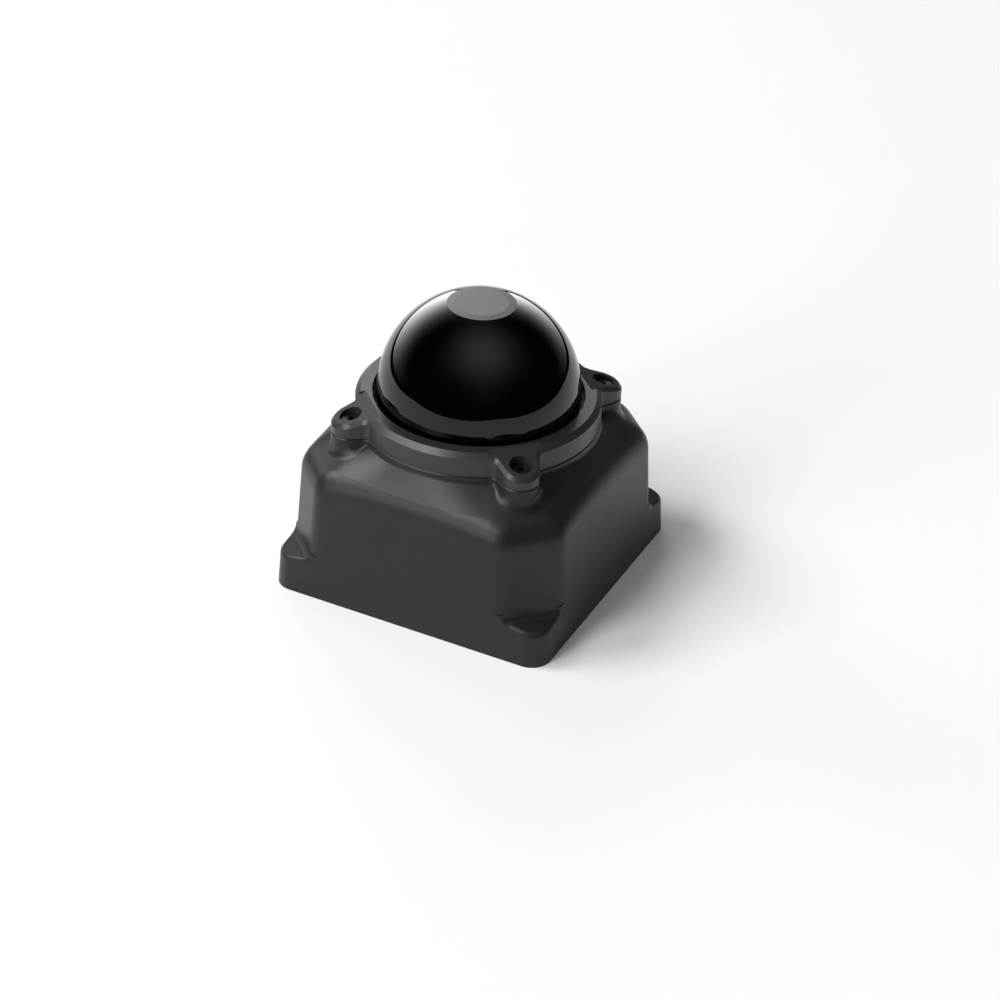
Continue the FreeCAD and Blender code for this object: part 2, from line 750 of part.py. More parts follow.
def clamp_ring():
    """Chamfered ring with sloped ears, rebated over the dome's flange."""
    rebate_r = DOME_FLANGE_R + LOOSE
    lip = PARTING + FLANGE_T
    band = turned(chain([
        (RING_BORE_R, lip), (rebate_r, lip), (rebate_r, PARTING), (RING_R, PARTING),
        (RING_R, RING_TOP - RING_CHAMFER), (RING_R - RING_CHAMFER, RING_TOP),
        (RING_BORE_R, RING_TOP), (RING_BORE_R, lip),
    ]))
    contact = ear_points()[3]
    start = RING_BORE_R + EAR_SLOPE_START
    end = EAR_U + 2 * EAR_TIP_R
    fall = (end - start) * math.tan(math.radians(EAR_SLOPE))
    above = Part.Face(Part.makePolygon([
        V(start, 0, RING_TOP), V(end, 0, RING_TOP - fall), V(end, 0, RING_TOP + fall),
        V(start, 0, RING_TOP + fall), V(start, 0, RING_TOP),
    ]))
    wide = above.extrude(V(0, 4 * EAR_TIP_R, 0))
    wide.translate(V(0, -2 * EAR_TIP_R, 0))
    sector = above.extrude(V(0, 2 * contact.y, 0))
    sector.translate(V(0, -contact.y, 0))
    outline = ear_edges(lambda p: p + V(0, 0, PARTING))
    lift = V(0, 0, PARTING)
    outline.append(Part.LineSegment(contact + lift, mirrored(contact) + lift).toShape())
    blank = Part.Face(Part.Wire(outline)).extrude(V(0, 0, RING_HEIGHT)).cut(wide)
    brink = edges_where(
        blank,
        lambda p: p.z > PARTING + TOUCH and p.x > contact.x + TOUCH and not is_upright(blank, p),
    )
    ear = blank.makeChamfer(EAR_CHAMFER, brink)
    for cutter in around(sector, EAR_ANGLES):
        band = band.cut(cutter)
    ring = fused([band] + around(ear, EAR_ANGLES))
    base = edges_where(ring, lambda p: at_level(p, PARTING) and math.hypot(p.x, p.y) > RING_R - TOUCH)
    ring = ring.makeChamfer(PARTING_BEVEL, base)
    seat = PARTING + RING_SEAT_T
    for place in ear_places():
        ring = ring.cut(cylinder(RING_SCREW_R + BOLT_PLAY, place + V(0, 0, PARTING - OVERCUT), RING_HEIGHT))
        ring = ring.cut(cylinder(RING_COUNTERBORE_R, place + V(0, 0, seat), RING_HEIGHT))
    return ring


def is_upright(shape, point):
    """True where the nearest edge of a shape runs straight up."""
    spot = Part.Vertex(point)
    nearest = min(shape.Edges, key=lambda e: e.distToShape(spot)[0])
    ends = [v.Point for v in nearest.Vertexes]
    return math.hypot(ends[0].x - ends[-1].x, ends[0].y - ends[-1].y) < 1e-6


def socket_screw(base, length, radius, head_r, head_h, socket_af, socket_depth):
    """Socket screw hanging down from the seat at base."""
    body = fused([
        cylinder(head_r, base, head_h),
        cylinder(radius, base - UP * length, length + head_h / 2),
    ])
    return body.cut(hexagon(socket_af, base + UP * (head_h - socket_depth), head_h))


def ring_screws():
    """Low-head screws that clamp the ring."""
    seat = UP * (PARTING + RING_SEAT_T)
    return group([
        socket_screw(place + seat, RING_SCREW_LENGTH, RING_SCREW_R, RING_HEAD_R, RING_HEAD_H,
                     RING_SOCKET_AF, RING_SOCKET_DEPTH)
        for place in ear_places()
    ])


def countersink(place, grow=0.0):
    """Cone of a countersunk head, flush with the cover's outer face."""
    return Part.makeCone(
        BASE_SCREW_HEAD_R + grow, BASE_SCREW_R + grow, BASE_SCREW_HEAD_H, V(*place, PLATE_RECESS), UP)


def base_plate():
    """Bottom cover with a pedestal that takes heat from the processor."""
    plate = prism(*plate_outline(), PLATE_RECESS, PLATE_TOP)
    plate = fused([plate, box(PEDESTAL_SIDE, PEDESTAL_SIDE, PLATE_TOP, PLATE_TOP + PEDESTAL_RISE)])
    for place in square_places(BASE_SCREW_PLACE):
        plate = plate.cut(cylinder(BASE_SCREW_R + BOLT_PLAY, V(*place, 0), PLATE_TOP))
        plate = plate.cut(countersink(place, SLIP))
    depth = STANDOFF_STUD_LENGTH + THREAD_RUNOUT
    for x, y in square_places(BOARD_FIX):
        plate = plate.cut(cylinder(BOARD_SCREW_R + THREAD_PLAY, V(x, y, PLATE_TOP - depth), depth))
    return plate


def base_gasket():
    """Flat gasket on the ledge, inside the cover's outline."""
    corners, radius = plate_outline()
    inner_half = HALF - RIM - LEDGE + LOOSE
    leg = CORNER_LEG - (RIM + LEDGE) * (2 - math.sqrt(2))
    outer = prism(corners, radius, PLATE_TOP, LEDGE_Z)
    gasket = outer.cut(prism(octagon(inner_half, leg), WALL_EDGE_R, PLATE_TOP, LEDGE_Z))
    for x, y in square_places(BASE_SCREW_PLACE):
        gasket = gasket.cut(cylinder(BASE_POST_R, V(x, y, PLATE_TOP), GASKET_T))
    return gasket


def base_screws():
    """Countersunk screws that hold the cover."""
    screws = []
    for place in square_places(BASE_SCREW_PLACE):
        shank = cylinder(BASE_SCREW_R, V(*place, PLATE_RECESS + BASE_SCREW_HEAD_H / 2), BASE_SCREW_LENGTH)
        screw = fused([countersink(place), shank])
        slot = hexagon(RING_SOCKET_AF, V(*place, PLATE_RECESS), RING_SOCKET_DEPTH)
        screws.append(screw.cut(slot))
    return group(screws)


def inlet_levels():
    """Distances from the axis: seal, flange, thread start and thread end."""
    flange = INLET_PAD_FACE + INLET_SEAL_T
    thread = flange + INLET_FLANGE_T
    return INLET_PAD_FACE, flange, thread, thread + INLET_THREAD_LENGTH


def connector_shell():
    """Bulkhead shell with a flatted flange and an outer thread diameter."""
    seal, flange, thread, end = inlet_levels()
    rim = cylinder(INLET_FLANGE_R, inlet_base(flange), INLET_FLANGE_T, REAR)
    rim = rim.common(box(INLET_FLAT_AF, 4 * HALF, 0, WALL_TOP))
    shell = fused([
        rim,
        cylinder(INLET_BODY_R, inlet_base(INLET_BODY_END), flange - INLET_BODY_END, REAR),
        cylinder(INLET_THREAD_R, inlet_base(thread), end - thread, REAR),
    ])
    nose = edges_where(shell, lambda p: abs(p.y - end) < TOUCH)
    shell = shell.makeChamfer(INLET_CHAMFER, nose)
    return shell.cut(cylinder(INLET_BORE_R, inlet_base(0), 3 * HALF, REAR))


def contact_places():
    """Contact centres in the insert: one in the middle and the rest round it."""
    ring = [2 * math.pi * k / (CONTACT_COUNT - 1) for k in range(CONTACT_COUNT - 1)]
    return [(0, 0)] + [(CONTACT_CIRCLE_R * math.cos(a), CONTACT_CIRCLE_R * math.sin(a)) for a in ring]


def connector_insert():
    """Moulded insert with contact holes and a keyway."""
    end = inlet_levels()[3] - INSERT_RECESS
    insert = cylinder(INLET_BORE_R - GLUE, inlet_base(INLET_BODY_END), end - INLET_BODY_END, REAR)
    for x, z in contact_places():
        insert = insert.cut(cylinder(CONTACT_R + SLIP, V(x, 0, INLET_HEIGHT + z), 3 * HALF, REAR))
    rim = INLET_HEIGHT + INLET_BORE_R
    keyway = box(KEYWAY_WIDTH, 2 * KEYWAY_LENGTH, rim - KEYWAY_DEPTH, rim + OVERCUT, (0, end))
    return insert.cut(keyway)


def connector_contacts():
    """Contact pins through the insert."""
    start = INLET_BODY_END - CONTACT_TAIL
    length = inlet_levels()[3] - INSERT_RECESS - CONTACT_RECESS - start
    return group([
        cylinder(CONTACT_R, V(x, start, INLET_HEIGHT + z), length, REAR) for x, z in contact_places()
    ])


def connector_seal():
    """Flat seal under the flange."""
    outer = cylinder(INLET_FLANGE_R, inlet_base(INLET_PAD_FACE), INLET_SEAL_T, REAR)
    ring = outer.cut(cylinder(INLET_BODY_R + SLIP, inlet_base(INLET_PAD_FACE), INLET_SEAL_T, REAR))
    return ring.common(box(INLET_FLAT_AF, 4 * HALF, 0, WALL_TOP))


def connector_nut():
    """Hexagon nut on the inner pad."""
    start = INLET_INNER_FACE - INLET_NUT_T
    nut = hexagon(INLET_NUT_AF, inlet_base(start), INLET_NUT_T, REAR)
    return nut.cut(cylinder(INLET_BODY_R + SLIP, inlet_base(start), INLET_NUT_T, REAR))


def board(half, low):
    """Circuit board with cut corners and screw holes."""
    plate = prism(octagon(half, BOARD_LEG), BOARD_CORNER_R, low, low + BOARD_T)
    for x, y in square_places(BOARD_FIX):
        plate = plate.cut(cylinder(BOARD_SCREW_R + BOLT_PLAY, V(x, y, low), BOARD_T))
    return plate


def board_standoffs():
    """Hexagon standoffs screwed into the cover."""
    posts = []
    for x, y in square_places(BOARD_FIX):
        post = fused([
            hexagon(STANDOFF_AF, V(x, y, PLATE_TOP), STANDOFF_H),
            cylinder(BOARD_SCREW_R, V(x, y, PLATE_TOP - STANDOFF_STUD_LENGTH), 2 * STANDOFF_STUD_LENGTH),
        ])
        depth = SPACER_STUD_LENGTH - BOARD_T + THREAD_RUNOUT
        bore = cylinder(BOARD_SCREW_R + THREAD_PLAY, V(x, y, MAIN_BOARD_Z - depth), depth)
        posts.append(post.cut(bore))
    return group(posts)


def board_spacers():
    """Spacers between the two boards, with a stud through the lower one."""
    low = MAIN_BOARD_Z + BOARD_T
    spacers = []
    for x, y in square_places(BOARD_FIX):
        spacer = fused([
            hexagon(STANDOFF_AF, V(x, y, low), SPACER_H),
            cylinder(BOARD_SCREW_R, V(x, y, low - SPACER_STUD_LENGTH), SPACER_STUD_LENGTH + BOARD_T),
        ])
        depth = BOARD_SCREW_LENGTH - BOARD_T + THREAD_RUNOUT
        bore = cylinder(BOARD_SCREW_R + THREAD_PLAY, V(x, y, POWER_BOARD_Z - depth), depth)
        spacers.append(spacer.cut(bore))
    return group(spacers)


def pan_screw(base, length, radius, head_r, head_h, direction=UP):
    """Plain headed screw whose head stands on base and shank points the other way."""
    return fused([
        cylinder(head_r, base, head_h, direction),
        cylinder(radius, base - direction * length, length + head_h / 2, direction),
    ])


def board_screws():
    """Screws on the upper board."""
    top = POWER_BOARD_Z + BOARD_T
    return group([
        pan_screw(V(x, y, top), BOARD_SCREW_LENGTH, BOARD_SCREW_R, BOARD_HEAD_R, BOARD_HEAD_H)
        for x, y in square_places(BOARD_FIX)
    ])


def board_header():
    """Board to board header."""
    return box(*HEADER_SIZE, MAIN_BOARD_Z + BOARD_T, POWER_BOARD_Z, (0, HEADER_Y))


def processor():
    """Processor under the main board, above the pedestal."""
    return box(PROCESSOR_SIDE, PROCESSOR_SIDE, MAIN_BOARD_Z - PROCESSOR_T, MAIN_BOARD_Z)


def thermal_pad():
    """Soft pad between pedestal and processor."""
    return box(PROCESSOR_SIDE, PROCESSOR_SIDE, PLATE_TOP + PEDESTAL_RISE, MAIN_BOARD_Z - PROCESSOR_T)


def power_inductor():
    """Power inductor on the upper board."""
    low = POWER_BOARD_Z + BOARD_T
    block = box(INDUCTOR_SIDE, INDUCTOR_SIDE, low, low + INDUCTOR_H, (INDUCTOR_X, 0))
    upright = edges_where(block, lambda p: not at_level(p, low) and not at_level(p, low + INDUCTOR_H))
    return block.makeFillet(INDUCTOR_EDGE_R, upright)


def power_capacitors():
    """Two upright capacitors on the upper board."""
    low = POWER_BOARD_Z + BOARD_T
    return group([cylinder(CAPACITOR_R, V(CAPACITOR_X, y, low), CAPACITOR_H)
                  for y in (-CAPACITOR_Y, CAPACITOR_Y)])


def carrier_spots(height):
    """Places of the carrier screws."""
    return [placed(V(CARRIER_SCREW_CIRCLE_R, 0, 0), angle, height) for angle in range(0, 360, 90)]


def bearing_carrier():
    """Flanged carrier with the hub that holds stator and axle."""
    under = DECK - CARRIER_T
    body = turned(chain([
        (AXLE_R + SLIP, under), (CARRIER_R, under), (CARRIER_R, DECK), (CARRIER_SHOULDER_R, DECK),
        (CARRIER_SHOULDER_R, DECK + CARRIER_SHOULDER_H), (CARRIER_HUB_R, DECK + CARRIER_SHOULDER_H),
        (CARRIER_HUB_R, CARRIER_HUB_TOP), (AXLE_R + SLIP, CARRIER_HUB_TOP), (AXLE_R + SLIP, under),
    ]))
    for spot in carrier_spots(under):
        body = body.cut(cylinder(CARRIER_SCREW_R + BOLT_PLAY, spot, CARRIER_T))
    for angle in (45, 225):
        port = placed(V(WIRE_PORT_CIRCLE_R, 0, 0), angle, under)
        body = body.cut(cylinder(WIRE_PORT_R, port, CARRIER_T))
    return body


def carrier_screws():
    """Screws that hold the carrier up against the collar."""
    length = CARRIER_T + CARRIER_SCREW_GRIP
    return group([
        pan_screw(spot, length, CARRIER_SCREW_R, CARRIER_HEAD_R, CARRIER_HEAD_H, -UP)
        for spot in carrier_spots(DECK - CARRIER_T)
    ])


def axle():
    """Fixed hollow axle with a clip groove."""
    low = DECK - CARRIER_T
    body = tube(AXLE_BORE_R, AXLE_R, low, AXLE_TOP)
    return body.cut(tube(CLIP_GROOVE_R, AXLE_R + 1, BEARINGS_TOP, BEARINGS_TOP + CLIP_T))


def stator_core():
    """Laminated core with teeth that point outwards."""
    low = DECK + CARRIER_SHOULDER_H
    high = low + STATOR_H
    yoke_r = CARRIER_HUB_R + STATOR_YOKE
    pieces = [cylinder(yoke_r, V(0, 0, low), STATOR_H)]
    tip_ring = tube(STATOR_R - TOOTH_TIP_T, STATOR_R, low, high)
    for k in range(STATOR_TEETH):
        angle = 360 * k / STATOR_TEETH
        reach = STATOR_R - TOOTH_TIP_T / 2
        tooth = box(reach, TOOTH_W, low, high, (reach / 2, 0))
        tip = tip_ring.common(box(STATOR_R + 1, TOOTH_TIP_W, low, high, ((STATOR_R + 1) / 2, 0)))
        pieces += [turned_copy(tooth, angle), turned_copy(tip, angle)]
    core = fused(pieces)
    return core.cut(cylinder(CARRIER_HUB_R + SLIP, V(0, 0, low), STATOR_H))


def stator_windings():
    """One coil on each tooth."""
    low = DECK + CARRIER_SHOULDER_H
    inner = CARRIER_HUB_R + STATOR_YOKE + WINDING_GAP
    outer = STATOR_R - TOOTH_TIP_T - WINDING_GAP
    centre = ((inner + outer) / 2, 0)
    coil = box(outer - inner, TOOTH_W + 2 * WINDING_T, low - WINDING_T, low + STATOR_H + WINDING_T, centre)
    gap = box(outer - inner, TOOTH_W + 2 * SLIP, low - SLIP, low + STATOR_H + SLIP, centre)
    coil = coil.cut(gap)
    return group(around(coil, [360 * k / STATOR_TEETH for k in range(STATOR_TEETH)]))


def bearing_inner_rings():
    """Inner rings of both bearings, on the axle."""
    inner = AXLE_R + SLIP
    return group([tube(inner, AXLE_R + BEARING_RING_T, low, low + BEARING_W)
                  for low in (LOWER_BEARING, UPPER_BEARING)])


def bearing_outer_rings():
    """Outer rings with shields that run close to the inner rings."""
    shield_r = AXLE_R + BEARING_RING_T + BEARING_RUN
    rings = []
    for low in (LOWER_BEARING, UPPER_BEARING):
        high = low + BEARING_W
        rings.append(fused([
            tube(BEARING_R - BEARING_RING_T, BEARING_R, low, high),
            tube(shield_r, BEARING_R - BEARING_RING_T / 2, low, low + BEARING_SHIELD_T),
            tube(shield_r, BEARING_R - BEARING_RING_T / 2, high - BEARING_SHIELD_T, high),
        ]))
    return group(rings)


def bearing_spacers():
    """Collar under the lower bearing and sleeve between the inner rings."""
    inner = AXLE_R + SLIP
    return group([
        tube(inner, BEARING_COLLAR_R, CARRIER_HUB_TOP, LOWER_BEARING),
        tube(inner, AXLE_R + BEARING_RING_T, LOWER_BEARING + BEARING_W, UPPER_BEARING),
    ])


def retaining_ring():
    """Open clip in the axle's groove."""
    ring = tube(CLIP_GROOVE_R + SLIP, CLIP_R, BEARINGS_TOP, BEARINGS_TOP + CLIP_T)
    return ring.cut(box(2 * CLIP_R, CLIP_OPENING, BEARINGS_TOP, BEARINGS_TOP + CLIP_T, (CLIP_R, 0)))


def coil_band():
    """Inner and outer radius of the fixed power coil."""
    inner = DRUM_R + COIL_INNER_GAP
    return inner, inner + COIL_WIDTH


def power_coil_fixed():
    """Fixed half of the power coupling."""
    return tube(*coil_band(), DECK, DECK + COIL_T)


def power_coil_rotor():
    """Turning half of the power coupling, on the drum."""
    low = DECK + COIL_T + COIL_GAP
    return tube(DRUM_R + GLUE, coil_band()[1], low, low + COIL_T)


def encoder_disc():
    """Slotted code disc on the drum."""
    low = DECK + CODE_DISC_RISE
    outer = DRUM_R + CODE_DISC_WIDTH
    disc = tube(DRUM_R + GLUE, outer, low, low + CODE_DISC_T)
    slot = box(CODE_SLOT[0], CODE_SLOT[1], low, low + CODE_DISC_T, (outer - CODE_SLOT[0], 0))
    slots = around(slot, [360 * k / CODE_SLOTS for k in range(CODE_SLOTS)])
    return disc.cut(Part.makeCompound(slots))


def encoder_sensor():
    """Fork over the code disc, on a post that stands on the carrier."""
    disc = DECK + CODE_DISC_RISE + CODE_DISC_T / 2
    low_jaw = disc - SENSOR_SLOT / 2 - SENSOR_JAW_T
    top = disc + SENSOR_SLOT / 2 + SENSOR_JAW_T
    outer = cylinder(SENSOR_OUTER_R, V(0, 0, DECK), top - DECK)
    post = tube(SENSOR_OUTER_R - SENSOR_WALL, SENSOR_OUTER_R, DECK, top)
    strip = box(2 * SENSOR_OUTER_R, SENSOR_WIDTH, DECK, top, (-SENSOR_OUTER_R, 0))
    jaw_area = outer.cut(cylinder(SENSOR_OUTER_R - SENSOR_REACH, V(0, 0, DECK), top - DECK))
    jaws = [
        jaw_area.common(box(2 * SENSOR_OUTER_R, SENSOR_WIDTH, low, low + SENSOR_JAW_T, (-SENSOR_OUTER_R, 0)))
        for low in (low_jaw, top - SENSOR_JAW_T)
    ]
    return fused([post.common(strip)] + jaws)


def link_emitter():
    """Light source of the data link, on the axle's end."""
    return cylinder(LINK_R, V(0, 0, AXLE_TOP), LINK_H)


def rotor_hub():
    """Hub, flange and motor drum in one turned piece."""
    seat = BEARING_R + SLIP
    lip_r = BEARING_R - HUB_LIP
    drum_low = DECK + DRUM_LIFT
    lip_low = LOWER_BEARING + BEARING_W
    hub_top = BEARINGS_TOP + HUB_RIM
    body = turned(chain([
        (seat, ROTOR_FLANGE), (DRUM_INNER_R, ROTOR_FLANGE), (DRUM_INNER_R, drum_low), (DRUM_R, drum_low),
        (DRUM_R, ROTOR_FLANGE), (FLANGE_DISC_R, ROTOR_FLANGE), (FLANGE_DISC_R, ROTOR_DECK),
        (HUB_R, ROTOR_DECK), (HUB_R, hub_top), (seat, hub_top), (seat, UPPER_BEARING),
        (lip_r, UPPER_BEARING), (lip_r, lip_low), (seat, lip_low), (seat, ROTOR_FLANGE),
    ]))
    for x in (-BLOCK_SCREW_X, BLOCK_SCREW_X):
        body = body.cut(cylinder(BLOCK_SCREW_R + BOLT_PLAY, V(x, 0, ROTOR_FLANGE), FLANGE_DISC_T))
    return body


def sector(inner, outer, low, high, start, span):
    """Part of a ring between two azimuths."""
    corners = [(inner, low), (outer, low), (outer, high), (inner, high), (inner, low)]
    section = Part.Face(Part.Wire(chain(corners)))
    return turned_copy(section.revolve(V(0, 0, 0), UP, span), start)


def rotor_magnets():
    """Magnet segments on the drum's inner wall."""
    low = DECK + DRUM_LIFT + MAGNET_LIFT
    pitch = 360 / MAGNET_COUNT
    outer = DRUM_INNER_R - GLUE
    return group([
        sector(MAGNET_INNER_R, outer, low, low + MAGNET_H, pitch * k, pitch - MAGNET_GAP_DEG)
        for k in range(MAGNET_COUNT)
    ])


def barrel_base(side, distance):
    """Point on a lens axis: side is -1 or 1, distance is measured to the rear."""
    return V(side * BARREL_X, distance, BARREL_Z)


def optics_block():
    """Block round the hub with seats for two lens barrels and pads for the board."""
    disc = cylinder(BLOCK_R, V(0, 0, ROTOR_DECK), BLOCK_H)
    block = disc.common(box(2 * BLOCK_R, BLOCK_DEPTH, ROTOR_DECK, BLOCK_TOP))
    pads = [cylinder(ROTOR_BOARD_PAD_R, V(x, y, BLOCK_TOP - OVERCUT), ROTOR_BOARD_PAD_H + OVERCUT)
            for x, y in rotor_board_places()]
    block = fused([block] + pads)
    block = block.cut(cylinder(HUB_R + BLOCK_HUB_GAP, V(0, 0, ROTOR_DECK), BLOCK_H))
    for side in (-1, 1):
        seat = barrel_base(side, -BARREL_FRONT)
        block = block.cut(cylinder(BARREL_R + GLUE, seat, BARREL_LENGTH, REAR))
        block = block.cut(cylinder(APERTURE_R, seat, BARREL_FRONT + BLOCK_DEPTH, REAR))
        screw = V(side * BLOCK_SCREW_X, 0, ROTOR_DECK)
        depth = BLOCK_SCREW_LENGTH - FLANGE_DISC_T + THREAD_RUNOUT
        block = block.cut(cylinder(BLOCK_SCREW_R + THREAD_PLAY, screw, depth))
    for x, y in rotor_board_places():
        depth = ROTOR_SCREW_LENGTH - HEAD_BOARD_T + THREAD_RUNOUT
        block = block.cut(cylinder(ROTOR_SCREW_R + THREAD_PLAY, V(x, y, ROTOR_BOARD_Z - depth), depth))
    return block


def rotor_board_places():
    """Screw places of the rotor board."""
    x, y = ROTOR_BOARD_FIX
    return [(sx * x, sy * y) for sx in (-1, 1) for sy in (-1, 1)]


def lens_barrel(side):
    """Lens tube with a front lip."""
    start = barrel_base(side, -BARREL_FRONT)
    body = cylinder(BARREL_R, start, BARREL_LENGTH, REAR)
    clear = BARREL_R - BARREL_WALL
    body = body.cut(cylinder(clear, start + REAR * BARREL_LIP, BARREL_LENGTH, REAR))
    return body.cut(cylinder(clear - BARREL_LIP, start, BARREL_LENGTH, REAR))


def lens(side):
    """Lens with a flat rear and a domed front, inside its barrel."""
    radius = BARREL_R - BARREL_WALL - SLIP
    sphere_r = (radius ** 2 + LENS_SAG ** 2) / (2 * LENS_SAG)
    flat = barrel_base(side, -BARREL_FRONT + LENS_SETBACK + LENS_SAG + LENS_EDGE_T)
    length = LENS_SAG + LENS_EDGE_T
    blank = cylinder(radius, flat - REAR * length, length, REAR)
    return blank.common(Part.makeSphere(sphere_r, flat + REAR * (sphere_r - length)))


def head_board(side):
    """Small upright board behind a lens."""
    width, height = HEAD_BOARD_SIZE
    rear = BLOCK_DEPTH / 2
    low = BARREL_Z - height / 2
    return box(width, HEAD_BOARD_T, low, low + height, (side * BARREL_X, rear + HEAD_BOARD_T / 2))


def rotor_board():
    """Round board on top of the head."""
    disc = cylinder(ROTOR_BOARD_R, V(0, 0, ROTOR_BOARD_Z), HEAD_BOARD_T)
    for x, y in rotor_board_places():
        disc = disc.cut(cylinder(ROTOR_SCREW_R + BOLT_PLAY, V(x, y, ROTOR_BOARD_Z), HEAD_BOARD_T))
    return disc


def rotor_board_screws():
    """Screws on the rotor board."""
    top = ROTOR_BOARD_Z + HEAD_BOARD_T
    return group([
        pan_screw(V(x, y, top), ROTOR_SCREW_LENGTH, ROTOR_SCREW_R, ROTOR_SCREW_HEAD_R, ROTOR_SCREW_HEAD_H)
        for x, y in rotor_board_places()
    ])


def block_screws():
    """Screws from below the flange into the block."""
    return group([
        pan_screw(V(x, 0, ROTOR_FLANGE), BLOCK_SCREW_LENGTH, BLOCK_SCREW_R,
                  BLOCK_SCREW_HEAD_R, BLOCK_SCREW_HEAD_H, -UP)
        for x in (-BLOCK_SCREW_X, BLOCK_SCREW_X)
    ])


def link_receiver():
    """Light receiver of the data link, under the rotor board."""
    return cylinder(LINK_R, V(0, 0, ROTOR_BOARD_Z - LINK_H), LINK_H)


def balance_weight():
    """Counterweight behind the lenses, on the flange."""
    return sector(WEIGHT_INNER_R, WEIGHT_OUTER_R, ROTOR_DECK, ROTOR_DECK + WEIGHT_H,
                  90 - WEIGHT_SPAN / 2, WEIGHT_SPAN)


NODES = {
    "dome_window": dome_window,
    "dome_cap": dome_cap,
    "dome_seal": dome_seal,
    "clamp_ring": clamp_ring,
    "ring_screws": ring_screws,
    "housing": housing,
    "base_plate": base_plate,
    "base_gasket": base_gasket,
    "base_screws": base_screws,
    "connector_shell": connector_shell,
    "connector_insert": connector_insert,
    "connector_contacts": connector_contacts,
    "connector_seal": connector_seal,
    "connector_nut": connector_nut,
    "main_board": lambda: board(MAIN_BOARD_HALF, MAIN_BOARD_Z),
    "power_board": lambda: board(POWER_BOARD_HALF, POWER_BOARD_Z),
    "board_standoffs": board_standoffs,
    "board_spacers": board_spacers,
    "board_screws": board_screws,
    "board_header": board_header,
    "processor": processor,
    "thermal_pad": thermal_pad,
    "power_inductor": power_inductor,
    "power_capacitors": power_capacitors,
    "bearing_carrier": bearing_carrier,
    "carrier_screws": carrier_screws,
    "axle": axle,
    "stator_core": stator_core,
    "stator_windings": stator_windings,
    "bearing_inner_rings": bearing_inner_rings,
    "bearing_outer_rings": bearing_outer_rings,
    "bearing_spacers": bearing_spacers,
    "retaining_ring": retaining_ring,
    "power_coil_fixed": power_coil_fixed,
    "power_coil_rotor": power_coil_rotor,
    "encoder_disc": encoder_disc,
    "encoder_sensor": encoder_sensor,
    "link_emitter": link_emitter,
    "link_receiver": link_receiver,
    "rotor_hub": rotor_hub,
    "rotor_magnets": rotor_magnets,
    "optics_block": optics_block,
    "emitter_barrel": lambda: lens_barrel(-1),
    "receiver_barrel": lambda: lens_barrel(1),
    "emitter_lens": lambda: lens(-1),
    "receiver_lens": lambda: lens(1),
    "emitter_board": lambda: head_board(-1),
    "detector_board": lambda: head_board(1),
    "rotor_board": rotor_board,
    "rotor_board_screws": rotor_board_screws,
    "block_screws": block_screws,
    "balance_weight": balance_weight,
}

os.makedirs("parts", exist_ok=True)
for name, make in NODES.items():
    shape = make()
    print(f"{name}: {len(shape.Solids)} solids, {shape.Volume:.1f} mm3, valid {shape.isValid()}")
    shape.exportStep(f"parts/{name}.step")
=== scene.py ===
"""Looks of a compact dome lidar sensor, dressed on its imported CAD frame.

Metres, +Z up. The front is at -Y and the cable inlet on the rear wall at +Y.
"""

import logging
import math
from dataclasses import dataclass
from enum import Enum
from typing import Callable, Mapping, Optional, Sequence, Union

import bpy
from mathutils import Matrix, Vector


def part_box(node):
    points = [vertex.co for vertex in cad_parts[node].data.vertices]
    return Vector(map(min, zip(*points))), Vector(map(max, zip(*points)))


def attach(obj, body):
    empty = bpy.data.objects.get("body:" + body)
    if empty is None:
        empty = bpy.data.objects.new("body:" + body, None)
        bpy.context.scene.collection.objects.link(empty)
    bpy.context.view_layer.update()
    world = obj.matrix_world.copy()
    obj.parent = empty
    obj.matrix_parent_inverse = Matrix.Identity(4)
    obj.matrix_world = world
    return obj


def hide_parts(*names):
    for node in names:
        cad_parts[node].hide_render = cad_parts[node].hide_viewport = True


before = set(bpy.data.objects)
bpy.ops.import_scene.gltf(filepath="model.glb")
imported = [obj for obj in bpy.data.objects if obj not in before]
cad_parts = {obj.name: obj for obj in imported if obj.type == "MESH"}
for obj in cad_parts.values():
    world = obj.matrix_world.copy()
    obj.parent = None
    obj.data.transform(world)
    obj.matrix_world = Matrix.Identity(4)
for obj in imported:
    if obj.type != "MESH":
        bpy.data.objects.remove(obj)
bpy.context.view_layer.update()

LOG = logging.getLogger("dome_lidar")
MM = 0.001
OBJECT_UP = Vector((0.0, 0.0, 1.0))
OBJECT_REAR = Vector((0.0, 1.0, 0.0))
SMOOTH_ANGLE = math.radians(32.0)
WELD = 0.002 * MM               # points nearer than this become one
TOUCH = 0.01 * MM               # how near a place counts as on it
SQUARE_ON = 0.9                 # share of a normal along the axis that a face looks along
PATTERN_MIDDLE = 0.5            # value that a pattern swings about
CLOUD_FALL = 0.55               # share that each finer level of clouds keeps
STRIPE_FALL = 0.6
STRIPE_DETAIL = 3.0

Colour = tuple[float, float, float]
Value = Union["Signal", float]
Picker = Callable[[Vector, Vector], bool]
Section = Sequence[tuple[float, float]]
WHITE: Colour = (1.0, 1.0, 1.0)
BLACK: Colour = (0.0, 0.0, 0.0)


def opaque(colour: Colour) -> tuple[float, float, float, float]:
    """Colour with full cover, as a colour socket takes it."""
    return (*colour, 1.0)


